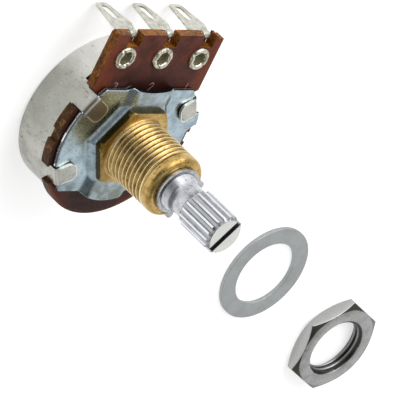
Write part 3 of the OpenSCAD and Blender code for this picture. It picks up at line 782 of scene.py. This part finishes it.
# painted shade, nearly black, in the middle of the board near the plate's top edge
painted_shade_middle = both(tree, between(tree, aside, 3.0, 9.5, 0.75, 0),
               between(tree, y, 8.6, 13.0, 1, 0))
face = layered(tree, mix(tree, clouds, rgb(98, 44, 29), rgb(70, 29, 18)),
               (painted_light_ends, (132, 62, 30)), (painted_light_rim, (140, 74, 30)), (painted_shade_under_tabs, (44, 26, 15)),
               (painted_shade_middle, (34, 14, 10)),
               (between(tree, streaks, 0.55, 0.75, 0, 0.35), (58, 26, 18)))
print("board face:", len(tree.nodes), "nodes so far")

# %% [markdown]
# ## Laminated board: the punched edge
# Where the punch has broken through, the paper's fibres stand out, amber and brown, in
# thin layers. The edge is told from the face by the way the surface looks, so one
# material does both, and the relief is only felt where the fibres are.

# %% Board edge
fibre = noise(tree, in_millimetres(tree, (1, 1, 3.5)), 1.6, 6, 0.7)
paper_layers = noise(tree, in_millimetres(tree, (0.15, 0.15, 6)), 1.5, 3)
patches = noise(tree, in_millimetres(tree), 0.5, 3)
flecks = noise(tree, in_millimetres(tree), 0.8, 4, 0.7)
handled = both(tree, between(tree, patches, 0.46, 0.62, 0.0, 0.7),
               between(tree, y, 14.4, 14.9, 1, 0.35))
amber = layered(
    tree, mix(tree, between(tree, fibre, 0.35, 0.62), rgb(184, 110, 30), rgb(84, 50, 16)),
    (between(tree, paper_layers, 0.45, 0.65, 0, 0.6), (84, 52, 22)),
    (handled, (40, 27, 15)),
    (between(tree, y, 7.0, 9.0, 0.7, 0), (42, 34, 18)),
    (between(tree, flecks, 0.56, 0.64, 0, 0.7), (146, 102, 44)))
is_edge = between(tree, level_of(tree), 0.25, 0.75, 1.0, 0.0)
connect(tree, shader, mix(tree, is_edge, face, amber),
        between(tree, fibre, 0.3, 0.7, 0.42, 0.62), both(tree, fibre, is_edge), 0.9, 0.03)
shader.inputs["Specular IOR Level"].default_value = 0.18
wear(break_edges(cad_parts["element_board"], 0.09, 3), board_finish)

# %% [markdown]
# ## Drawn cover
# The cover is a cup drawn from tin-plated sheet; its four tabs are folded over the
# plate and hold the stack together. Drawing leaves the tin satin and pitted. It gets
# painted light near the terminals and painted shade on its side towards -x, and one
# tab, at -x and +y, has a brown tone.

# %% Tin
tin = metal("tin_plate", (188, 188, 181), (160, 160, 152), (84, 82, 76), 0.33,
            grain=(1, 1, 0.35), speck_share=0.55, relief=0.012, cloud_size=3.2)
tree = tin.node_tree
x, y, z = place_of(tree)
# painted shade on the cover's side towards -x
painted_shade_left = both(tree, band(tree, y, -4.5, 1.0, 4.5, 8.5, 0.6), between(tree, x, 3.0, -3.0))
# painted light: the cover is painted lighter near the terminals
painted_light_top = between(tree, y, 6.5, 10.5, 0, 0.75)
# a brown tone on the tab at -x and +y
browned = both(tree, between(tree, x, -5.0, -7.0), between(tree, y, 2.5, 4.5, 0, 0.5),
               between(tree, z, -2.3, -1.9))
tint(tin, (painted_shade_left, (146, 147, 138)), (painted_light_top, (238, 238, 234)), (browned, (88, 74, 50)))
print("tin:", len(tree.nodes), "nodes so far")

# %% [markdown]
# ### Tab glints and scratches
# The rim of a folded tab and the outside of its fold get a painted highlight, a bright
# glint line. All four tabs are alike, so the place is mirrored into one quarter with
# Absolute, and the rim is everything that lies near the border of one rounded
# rectangle. Long scratches from the drawing tool go over everything, dark ones and pale
# ones.

# %% Tabs and scratches
tab_way, tab_side = Vector((0.866, 0.5, 0)), Vector((0.5, -0.866, 0))
tab_tip, tab_half, tab_corner = 8.7, 1.5, 1.1
quarter = vector_calc(tree, "ABSOLUTE", in_millimetres(tree))
along = vector_calc(tree, "DOT_PRODUCT", quarter, tab_way)
across = calc(tree, "ABSOLUTE", vector_calc(tree, "DOT_PRODUCT", quarter, tab_side))
past_side = calc(tree, "MAXIMUM", calc(tree, "SUBTRACT", across, tab_half - tab_corner))
past_tip = calc(tree, "MAXIMUM", calc(tree, "SUBTRACT", tab_tip + tab_corner, along))
from_corner = reach_of(tree, past_side, past_tip)
# painted highlight: a bright glint on the fold of each tab
painted_glint_fold = both(tree, between(tree, level_of(tree), 0.97, 0.88),
            between(tree, z, -1.70, -1.60, 0, 0.45))
# painted highlight: a bright glint line round each tab's rim
painted_glint_rim = both(tree, between(tree, from_corner, tab_corner - 0.18, tab_corner - 0.10),
           between(tree, along, 11.3, 10.9), between(tree, z, -1.75, -1.65, 0, 0.85))
scratch = noise(tree, in_millimetres(tree, (1.6, 1.6, 0.45)), 1.5, 4, 0.6)
tint(tin, (painted_glint_fold, (240, 236, 226)), (painted_glint_rim, (236, 230, 216)),
     (between(tree, scratch, 0.64, 0.70, 0, 0.8), (70, 68, 60)),
     (between(tree, scratch, 0.33, 0.27, 0, 0.5), (226, 226, 220)))
wear(break_edges(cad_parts["cover"], 0.07), tin)

# %% [markdown]
# ## Solder lugs
# The lugs are punched from brass strip and dipped in tin, which leaves them matte and a
# little cloudy. The CAD shape is right as it is, so it only needs its edges broken and
# a finish with small clouds and a soft relief.

# %% Solder lugs
lug_tin = metal("tinned_brass", (206, 206, 197), (172, 170, 155), (98, 92, 66), 0.36,
                speck_share=0.6, relief=0.014, cloud_size=1.2)
for number in "123":
    wear(break_edges(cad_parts["terminal_" + number], 0.06), lug_tin)

# %% [markdown]
# ## Rolled eyelets
# An eyelet is a brass tube that a riveting tool rolls over the lug. The roll is never
# quite even and it cracks in a few places. A torus would be too perfect, so each head
# is a stack of rings whose height and width waver round the turn, with a dip at every
# crack. The number of the eyelet shifts the pattern, so no two are alike.

# %% Eyelet shape
eyelet_turn = [tau * c / 96 for c in range(96)]
roll_rows, roll_middle, roll_size, roll_foot = 12, 1.35, 0.40, -2.55
barrel_rows = ((1.70, -2.65), (1.2, -2.65), (1.2, -4.45), (1.70, -4.45), (1.75, -4.5),
               (1.75, -4.75), (1.70, -4.8), (1.0, -4.8), (0.95, -4.75), (0.95, -3.4),
               (0.95, -2.8))
eyelet_pitch, eyelet_y = 7.1, 13.0


def rolled_eyelet(number, x, y):
    """One eyelet: an uneven rolled head, the barrel and the set flange behind."""
    cracks = [math.radians(s + 37 * number) % tau for s in (20, 115, 190, 285)]

    def uneven(a):
        return 0.5 + 0.3 * math.sin(3 * a + number) + 0.2 * math.sin(7 * a + 2 * number)

    def cracked(a):
        return max(math.exp(-(math.degrees(a - s) / 6) ** 2) for s in cracks)

    bm = bmesh.new()
    head = []
    for step in range(roll_rows + 1):
        b = math.pi * step / roll_rows
        inner = max(math.cos(b), 0) ** 0.5
        head.append(ring(
            bm,
            lambda a: roll_middle - roll_size * math.cos(b)
            + inner * (0.10 * uneven(a) - 0.05) - 0.05 * (1 - inner) * uneven(a),
            lambda a: roll_foot
            + roll_size * math.sin(b) * (1 - 0.22 * uneven(a) - 0.45 * cracked(a)),
            eyelet_turn,
        ))
    barrel = [ring(bm, r, z, eyelet_turn) for r, z in barrel_rows]
    skins(bm, *head, *barrel, head[0])
    bmesh.ops.translate(bm, verts=bm.verts, vec=Vector((x, y, 0)) * mm)
    piece = piece_from(bm, "rolled_eyelet_" + str(number), "housing", 50)
    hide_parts("eyelet_" + str(number))
    return piece


eyelets = [rolled_eyelet(number, eyelet_pitch * (2 - number), eyelet_y)
           for number in (1, 2, 3)]

# %% [markdown]
# ### Eyelet finish
# The head is bright from the tool. Down in the bore the tin is thin and dull, and a
# mirror there would only show black, so the finish turns from metal to plain matte by
# the height.

# %% Eyelet finish
eyelet_tin = metal("eyelet_plate", (214, 212, 200), (170, 166, 142), (84, 78, 50), 0.19,
                   speck_share=0.7, relief=0.02, cloud_size=0.5, rough_swing=0.12)
tree = eyelet_tin.node_tree
bore_deep, bore_open = -2.70, -2.50
*_, z = place_of(tree)
tint(eyelet_tin, (between(tree, z, bore_deep, bore_open, 1.0, 0.0), (140, 132, 98)))
tree.links.new(between(tree, z, bore_deep, bore_open),
               tree.nodes["Principled BSDF"].inputs["Metallic"])
for piece in eyelets:
    wear(piece, eyelet_tin)

# %% [markdown]
# ## Serrated shaft
# The shaft is aluminium bar. Its end is rolled into eighteen teeth that hold a push-on
# knob. Each tooth is a few columns of points at their own radius, and the plain parts
# use the same columns, so the teeth run out cleanly at the neck and at the tip, where
# a largest radius turns them down. An array of boxes would leave seams instead.

# %% Serrated bar
shaft_turned = math.radians(56)
teeth, bar_radius, tail_radius, tail_flat = 18, 3.0, 2.1, 1.6
# one tooth: degrees from its middle, radius
tooth = ((-10, 2.66), (-6.4, 2.665), (-5.4, 2.70), (-2.9, 2.965), (-2.0, 3.0),
         (0, 3.0), (2.0, 3.0), (2.9, 2.965), (5.4, 2.70), (6.4, 2.665))
teeth_at, teeth_radius = [], {}
for i in range(teeth):
    for off, radius in tooth:
        a = math.radians(360 / teeth * i + off) + shaft_turned
        teeth_at.append(a)
        teeth_radius[a] = radius


def toothed(most):
    """The toothed bar, turned down to a largest radius."""
    return lambda a: min(teeth_radius[a], most)


def tail_side(a):
    """The tail is round with two flats."""
    return min(tail_radius, tail_flat / max(abs(math.sin(a - shaft_turned)), tiny))


# radius and height, from the back to the tip
tail_rows = ((2.5, -7.2), (2.16, -6.7), (tail_side, -6.66), (tail_side, -4.6), (2.94, -4.59))
body_rows = ((bar_radius, -4.53), (bar_radius, 9.48), (2.94, 9.54))
groove_rows = ((2.56, 9.55), (2.56, 10.13), (2.93, 10.15))
cone_rows = ((2.985, 10.22), (2.93, 10.38), (2.53, 11.28), (2.475, 11.45))
neck_rows = ((2.45, 11.7), (2.45, 13.75))
tooth_rows = tuple((toothed(most), z) for most, z in (
    (2.47, 13.82), (2.68, 13.96), (2.86, 14.1), (2.97, 14.22), (3.0, 14.32), (3.0, 20.14),
    (2.97, 20.20), (2.86, 20.32), (2.75, 20.43), (2.64, 20.54)))
bm = bmesh.new()
rows = [ring(bm, r, z, teeth_at) for r, z in (
    *tail_rows, *body_rows, *groove_rows, *cone_rows, *neck_rows, *tooth_rows, (2.54, 20.6))]
skins(bm, *rows)
bm.faces.new(list(reversed(rows[0])))
bm.faces.new(rows[-1])
blank = mesh_from(bm, "shaft_blank")
print("shaft blank:", len(rows), "rows of", len(teeth_at), "points")

# %% [markdown]
# ### The slot
# A saw cuts the screwdriver slot across the tip. The cut meets every tooth at another
# place, so a Boolean modifier does it: a bar with the saw's section, a little wider at
# its top so that the slot's edges come out broken, is taken away from the blank. Both
# helpers are removed afterwards and only the sawn mesh stays.

# %% Saw the slot
slot_half, slot_floor, slot_lip = 0.475, 19.4, 20.56
lip_half, saw_top, saw_reach = 0.54, 21.2, 4.0
one_side = ((slot_half, slot_floor), (slot_half, slot_lip), (lip_half, slot_lip + 0.07),
            (lip_half, saw_top))
saw_section = [*one_side, *[(-y, z) for y, z in reversed(one_side)]]
bm = bmesh.new()
ends = [[bm.verts.new((x * mm, y * mm, z * mm)) for y, z in saw_section]
        for x in (-saw_reach, saw_reach)]
skins(bm, *ends)
bm.faces.new(ends[0])
bm.faces.new(ends[1])
bmesh.ops.rotate(bm, verts=bm.verts, matrix=Matrix.Rotation(shaft_turned, 3, "Z"))
saw = bpy.data.objects.new("saw", mesh_from(bm, "saw"))
bar = bpy.data.objects.new("bar", blank)
scene.collection.objects.link(saw)
scene.collection.objects.link(bar)
cut = bar.modifiers.new("slot", "BOOLEAN")
cut.object = saw
cut.solver = "EXACT"
bpy.context.view_layer.update()
shape_now = bar.evaluated_get(bpy.context.evaluated_depsgraph_get())
sawn = bpy.data.meshes.new_from_object(shape_now)
bpy.data.objects.remove(bar)
bpy.data.objects.remove(saw)
shaft = piece_of(sawn, "serrated_shaft", "spindle", 24)
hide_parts("shaft")

# %% [markdown]
# ### Aluminium finish
# Rolled teeth are worn bright on their crests, with a painted highlight there, and their
# valleys get painted shade. The turned neck has fine rings and a painted dark reflection
# in its corner on one side, the chamfer is dark and the sawn end is pale and matte. Each
# is a strip of height or of distance from the axis, over the metal recipe.

# %% Shaft finish
aluminium = metal("turned_aluminium", (196, 198, 203), (166, 168, 173), (92, 90, 88), 0.22,
                  grain=(1, 1, 5), speck_share=0.5, relief=0.006, cloud_size=1.2)
tree = aluminium.node_tree
x, y, z = place_of(tree)
out = reach_of(tree, x, y)
on_teeth = band(tree, z, 13.7, 14.0, 20.3, 20.5)
# painted shade in the valleys between the teeth
valley = both(tree, between(tree, out, 2.66, 2.90, 0.75, 0.0), on_teeth)
# painted highlight on the teeth's crests, over their rubbed wear
crest = both(tree, between(tree, out, 2.93, 2.995, 0.0, 0.75), on_teeth)
# painted reflection: a dark patch on one side of the neck, in its corner
dark_reflection_way = Vector((-0.95, -0.31, 0))
toward_dark_reflection = vector_calc(tree, "DOT_PRODUCT", in_millimetres(tree), dark_reflection_way)
painted_dark_reflection = both(tree, band(tree, z, 11.0, 11.4, 11.7, 12.4, 0.85),
              between(tree, toward_dark_reflection, 1.1, 2.1))
tint(aluminium, (valley, (160, 162, 165)), (painted_dark_reflection, (66, 66, 68)), (crest, (238, 240, 242)),
     (band(tree, z, 20.1, 20.25, 20.5, 20.58, 0.45), (96, 92, 90)),
     (between(tree, z, 20.56, 20.6, 0, 0.8), (214, 214, 208)))
wear(shaft, aluminium)

# %% [markdown]
# ## Retaining ring
# The open ring is punched from spring steel and snapped into the shaft's groove, where
# it stops the shaft from being pulled out. The CAD shape has its two ears already, so
# broken edges and a plain grey steel are all it needs.

# %% Retaining ring
spring = metal("spring_steel", (184, 185, 188), (152, 153, 156), (70, 68, 66), 0.26,
               speck_share=0.5, relief=0.004, cloud_size=0.9)
wear(break_edges(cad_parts["retaining_ring"], 0.08, 3), spring)

# %% [markdown]
# ## Hex nut
# The nut is thin, cut from bar, with a 30 degree chamfer that leaves a round face in
# the middle of each side. Its thread is the bushing's thread turned inside out, and the
# same screw surface makes it. The chamfer is a cone, so its rings drop where they run
# further from the middle, and that draws the curved edges on the nut's sides.

# %% Hex nut
nut_across, nut_thick, nut_crest, nut_cut = 13.705, 2.2, 4.4025, 0.40
nut_cut_starts, nut_cut_ends, least_cut = (0.1, 0.5), (1.7, 2.1), 0.25
nut_mouth, mouth_edge, mouth_deep, edge_break = 5.0, 4.93, 0.42, 0.05
nut_place, nut_turned = Vector((75.0, -42.5, -10.8)), math.radians(32)
nut_side = hexagon(nut_across)
face_radius = nut_across / 2 - edge_break


def chamfer_drop(radius):
    """How far the chamfer has come down at a radius beyond the round face."""
    return max(radius - face_radius, 0) * math.tan(math.radians(30))


def nut_wall(place, height):
    """Radius of the nut's inner thread, which is shallow at both mouths."""
    full = fade(height, *nut_cut_starts) * (1 - fade(height, *nut_cut_ends))
    return nut_crest + nut_cut * (1 - ridge(place, 0.16, 0.14)) * max(full, least_cut)


def chamfer_ring(share):
    """A radius between the round face and the hexagon's side."""
    return lambda a: face_radius + (nut_side(a) - edge_break - face_radius) * share


bm = bmesh.new()
low, high = screw(bm, mouth_deep, nut_thick - mouth_deep, thread_pitch, nut_wall)
shares = (0, 0.25, 0.5, 0.75, 1)
upper = [ring(bm, chamfer_ring(s), lambda a, s=s: nut_thick - chamfer_drop(chamfer_ring(s)(a)))
         for s in shares]
lower = [ring(bm, chamfer_ring(s), lambda a, s=s: chamfer_drop(chamfer_ring(s)(a)))
         for s in reversed(shares)]
skins(bm, high, ring(bm, mouth_edge, nut_thick - 0.02), ring(bm, nut_mouth, nut_thick), *upper,
      ring(bm, nut_side, lambda a: nut_thick - edge_break - chamfer_drop(nut_side(a))),
      ring(bm, nut_side, lambda a: edge_break + chamfer_drop(nut_side(a))),
      *lower, ring(bm, nut_mouth, 0), ring(bm, mouth_edge, 0.02), low)
bmesh.ops.transform(bm, verts=bm.verts, matrix=Matrix.Translation(nut_place * mm)
                    @ Matrix.Rotation(nut_turned, 4, "Z"))
nut = piece_from(bm, "threaded_nut", "housing", 40)
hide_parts("hex_nut")

# %% [markdown]
# ### Nickel finish
# Dull nickel covers the nut. The chamfer keeps the dark marks of the lathe, the flats
# are paler, and the thread in the bore is made nearly black. The nut lies away from the
# shaft, so its places are measured from its own middle.

# %% Nickel
nickel = metal("nickel_plate", (160, 161, 160), (142, 143, 142), (76, 74, 70), 0.30,
               speck_share=0.45, relief=0.005, cloud_size=1.6)
tree = nickel.node_tree
x, y, _ = place_of(tree, tuple(nut_place))
out = reach_of(tree, x, y)
sides = both(tree, between(tree, out, 6.6, 6.8),
             between(tree, level_of(tree), 0.3, 0.6, 0.8, 0))
chamfer = both(tree, between(tree, out, 6.75, 6.85),
               band(tree, tilt_of(tree), 0.6, 0.75, 0.9, 0.97, 0.9))
# the nut's inner thread is darkened nearly black
grooves = band(tree, out, 4.45, 4.62, 4.85, 4.92, 0.9)
tint(nickel, (sides, (172, 173, 171)), (chamfer, (62, 56, 48)), (grooves, (44, 41, 37)))
wear(nut, nickel)

# %% [markdown]
# ## Flat washer
# The washer is punched from sheet and barrel-plated, which rounds its edges and leaves
# an even, rather matte grey. Large faint clouds and a higher roughness tell it from the
# nut beside it.

# %% Flat washer
washer_steel = metal("washer_steel", (169, 172, 172), (159, 162, 162), (116, 118, 118), 0.45,
                     speck_share=0.3, relief=0.006, cloud_size=3.0)
wear(break_edges(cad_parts["flat_washer"], 0.06, 3), washer_steel)

# %% [markdown]
# ## Inside the housing
# Nobody sees the element while the cover is on, but it is there and turns with the
# shaft: the carbon track and its silver leads, the collector ring, the bronze wiper on
# its moulded rotor, and a fibre washer. Plain recipes with a little grain are enough.

# %% Inner pieces
def plain_finish(name, colour, second, rough, metallic=0.0):
    """A simple finish with two close tones and a fine relief."""
    made, tree, shader = new_finish(name)
    shader.inputs["Metallic"].default_value = metallic
    fine = noise(tree, in_millimetres(tree), 2.5, 5, 0.6)
    connect(tree, shader, mix(tree, between(tree, fine, 0.3, 0.7), rgb(*colour), rgb(*second)),
            between(tree, fine, 0.3, 0.7, rough - 0.06, rough + 0.06), fine, 0.6, 0.008)
    return made


carbon = plain_finish("carbon_film", (34, 33, 34), (24, 23, 24), 0.45)
silver_print = plain_finish("silver_print", (188, 186, 180), (168, 166, 160), 0.4, 1.0)
fibre_washer = plain_finish("fibre_washer", (150, 112, 80), (130, 94, 66), 0.7)
bronze = plain_finish("spring_bronze", (200, 160, 104), (182, 142, 88), 0.3, 1.0)
moulding = plain_finish("rotor_moulding", (44, 42, 42), (34, 32, 32), 0.5)
for name, finish, slot in (
    ("carbon_track", carbon, "carbon"),
    ("track_lead_1", silver_print, "silver_print"),
    ("track_lead_3", silver_print, "silver_print"),
    ("collector_ring", silver_print, "silver_print"),
    ("thrust_washer", fibre_washer, "fibre"),
    ("wiper_spring", bronze, "bronze"),
    ("rotor_disc", moulding, "rotor_moulding"),
):
    wear(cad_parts[name], finish)

# %% [markdown]
# ## Terminal digits
# The board carries the digits 3, 2 and 1 beside the terminals, in thin pale ink. They
# are printed before the plate goes on, so its edge hides their feet. A text object
# would bring a typeface; a stamp's thin stroke is better drawn as a pen would, from a
# few points whose corners are rounded, with a flat ribbon of ink along them.

# %% Pen strokes
digit_lines = {
    "1": [(0.30, 0.0), (0.36, 1.0)],
    "2": [(0.0, 0.78), (0.12, 0.95), (0.34, 1.0), (0.54, 0.88), (0.50, 0.66), (0.28, 0.38),
          (0.02, 0.04), (0.06, 0.02), (0.58, 0.0)],
    "3": [(0.06, 0.92), (0.30, 1.0), (0.52, 0.86), (0.48, 0.64), (0.24, 0.54), (0.50, 0.44),
          (0.58, 0.22), (0.34, 0.02), (0.04, 0.06)],
}


def rounded_line(points, times=2):
    """Cuts the corners of a line, again and again, as a pen rounds them."""
    for _ in range(times):
        cut = [points[0]]
        for (x0, y0), (x1, y1) in zip(points, points[1:]):
            cut += [(0.75 * x0 + 0.25 * x1, 0.75 * y0 + 0.25 * y1),
                    (0.25 * x0 + 0.75 * x1, 0.25 * y0 + 0.75 * y1)]
        points = cut + [points[-1]]
    return points


print({digit: len(rounded_line(line)) for digit, line in digit_lines.items()}, "points")

# %% [markdown]
# ### Ink on the board
# The ribbon is a hundredth of a millimetre thick and starts just inside the board, so
# that it never floats and never flickers against the face. It is closed all round, like
# every other piece, and leans a little, as the stamp did.

# %% Digits
digit_height, digit_foot, digit_lean, line_width = 1.5, 7.45, 0.12, 0.12
board_front = -2.65
ink_low, ink_high = board_front - 0.004, board_front + 0.006


def ink_line(bm, points):
    """A flat closed ribbon of ink along a line."""
    rows = []
    for i, (x, y) in enumerate(points):
        (px, py), (nx, ny) = points[max(i - 1, 0)], points[min(i + 1, len(points) - 1)]
        side = Vector((-(ny - py), nx - px)).normalized() * line_width / 2
        rows.append([bm.verts.new(((x + s * side.x) * mm, (y + s * side.y) * mm, z * mm))
                     for s, z in ((1, ink_low), (-1, ink_low), (-1, ink_high), (1, ink_high))])
    skins(bm, *rows)
    bm.faces.new(rows[0])
    bm.faces.new(rows[-1])


ink = plain_finish("pale_ink", (176, 156, 158), (136, 112, 112), 0.7)
for digit, middle in (("3", -6.48), ("2", 0.5), ("1", 7.3)):
    line = [(middle + (x - 0.3 + digit_lean * y) * digit_height, digit_foot + y * digit_height)
            for x, y in rounded_line(digit_lines[digit])]
    bm = bmesh.new()
    ink_line(bm, line)
    wear(piece_from(bm, "digit_" + digit, "housing"), ink)

# %% [markdown]
# ## Studio floor
# Small metal parts are photographed on white. The paper under them is a plain pale
# sheet that keeps their shadow. To the camera and to mirrors it adds a little light of
# its own through Light Path, so the ground reads as white without more light on the
# part.

# %% Floor
floor_half, floor_level, paper_glow = 4.0, -10.8 * mm, 0.56
floor_mesh = bpy.data.meshes.new("studio_floor")
floor_mesh.from_pydata([(x * floor_half, y * floor_half, floor_level)
                        for x, y in ((-1, -1), (1, -1), (1, 1), (-1, 1))], [], [(0, 1, 2, 3)])
floor = bpy.data.objects.new("studio_floor", floor_mesh)
scene.collection.objects.link(floor)
paper, tree, shader = new_finish("white_paper")
grain = noise(tree, in_millimetres(tree), 0.5, 3)
tree.links.new(mix(tree, grain, rgb(222, 222, 222), rgb(226, 226, 226)),
               shader.inputs["Base Color"])
shader.inputs["Roughness"].default_value = 0.9
shader.inputs["Specular IOR Level"].default_value = 0.1
path = node(tree, "LightPath").outputs
seen = calc(tree, "MAXIMUM", path["Is Camera Ray"],
            calc(tree, "MAXIMUM", path["Is Glossy Ray"], path["Is Transmission Ray"]))
shader.inputs["Emission Color"].default_value = (1, 1, 1, 1)
tree.links.new(between(tree, seen, 0, 1, 0, paper_glow), shader.inputs["Emission Strength"])
floor_mesh.materials.append(paper)
print("the floor lies at", floor_level / mm, "mm, under the cover's back")

# %% [markdown]
# ## Sky of the studio
# What makes metal look like metal is what it mirrors, so the tent of soft light round
# the part isn't even: it is bright behind the terminals, where the window is, and
# darker overhead and at the left, as the gap in a tent around the camera would be. Each
# patch is the angle to a direction, softened, and they add up.

# %% Sky
world = bpy.data.worlds.new("soft_tent")
world.use_nodes = True
scene.world = world
tree = world.node_tree
direction = node(tree, "TexCoord").outputs["Generated"]
tent, darkest = 0.75, 0.06
# direction, width in degrees, gain
patches = (((0.05, 0.93, 0.25), 50, 1.3), ((0.80, -0.40, 0.30), 45, 0.35),
           ((-0.724, 0.404, 0.559), 48, -0.62), ((-0.10, -0.40, 0.91), 30, -0.60))


def glow(toward, wide, gain):
    """A soft patch of light, or of dark, round a direction."""
    near = vector_calc(tree, "DOT_PRODUCT", direction, Vector(toward).normalized())
    return between(tree, near, math.cos(math.radians(wide)), 1.0, 0.0, gain)


total = tent
for patch in patches:
    total = calc(tree, "ADD", total, glow(*patch))
background = tree.nodes["Background"]
tree.links.new(calc(tree, "MAXIMUM", total, darkest), background.inputs["Strength"])
background.inputs["Color"].default_value = (1, 1, 1, 1)
print("the tent has", len(patches), "patches over a level of", tent)

# %% [markdown]
# ## The window
# One large square lamp stands behind the terminals and gives the soft shadow on the
# paper and the bright lines along the thread. It is weak, because the tent does most of
# the lighting, and large, because a small one would make hard glints.

# %% Lamp
lamp_place, lamp_aim = Vector((0.06, 0.42, 0.26)), Vector((0.02, 0, 0))
lamp_data = bpy.data.lights.new("window_lamp", "AREA")
lamp_data.shape = "SQUARE"
lamp_data.size = 0.40
lamp_data.energy = 0.8
lamp = bpy.data.objects.new("window_lamp", lamp_data)
lamp.location = lamp_place
lamp.rotation_euler = (lamp_aim - lamp_place).to_track_quat("-Z", "Y").to_euler()
scene.collection.objects.link(lamp)
print("one window lamp,", round(lamp_data.size, 2), "m wide")
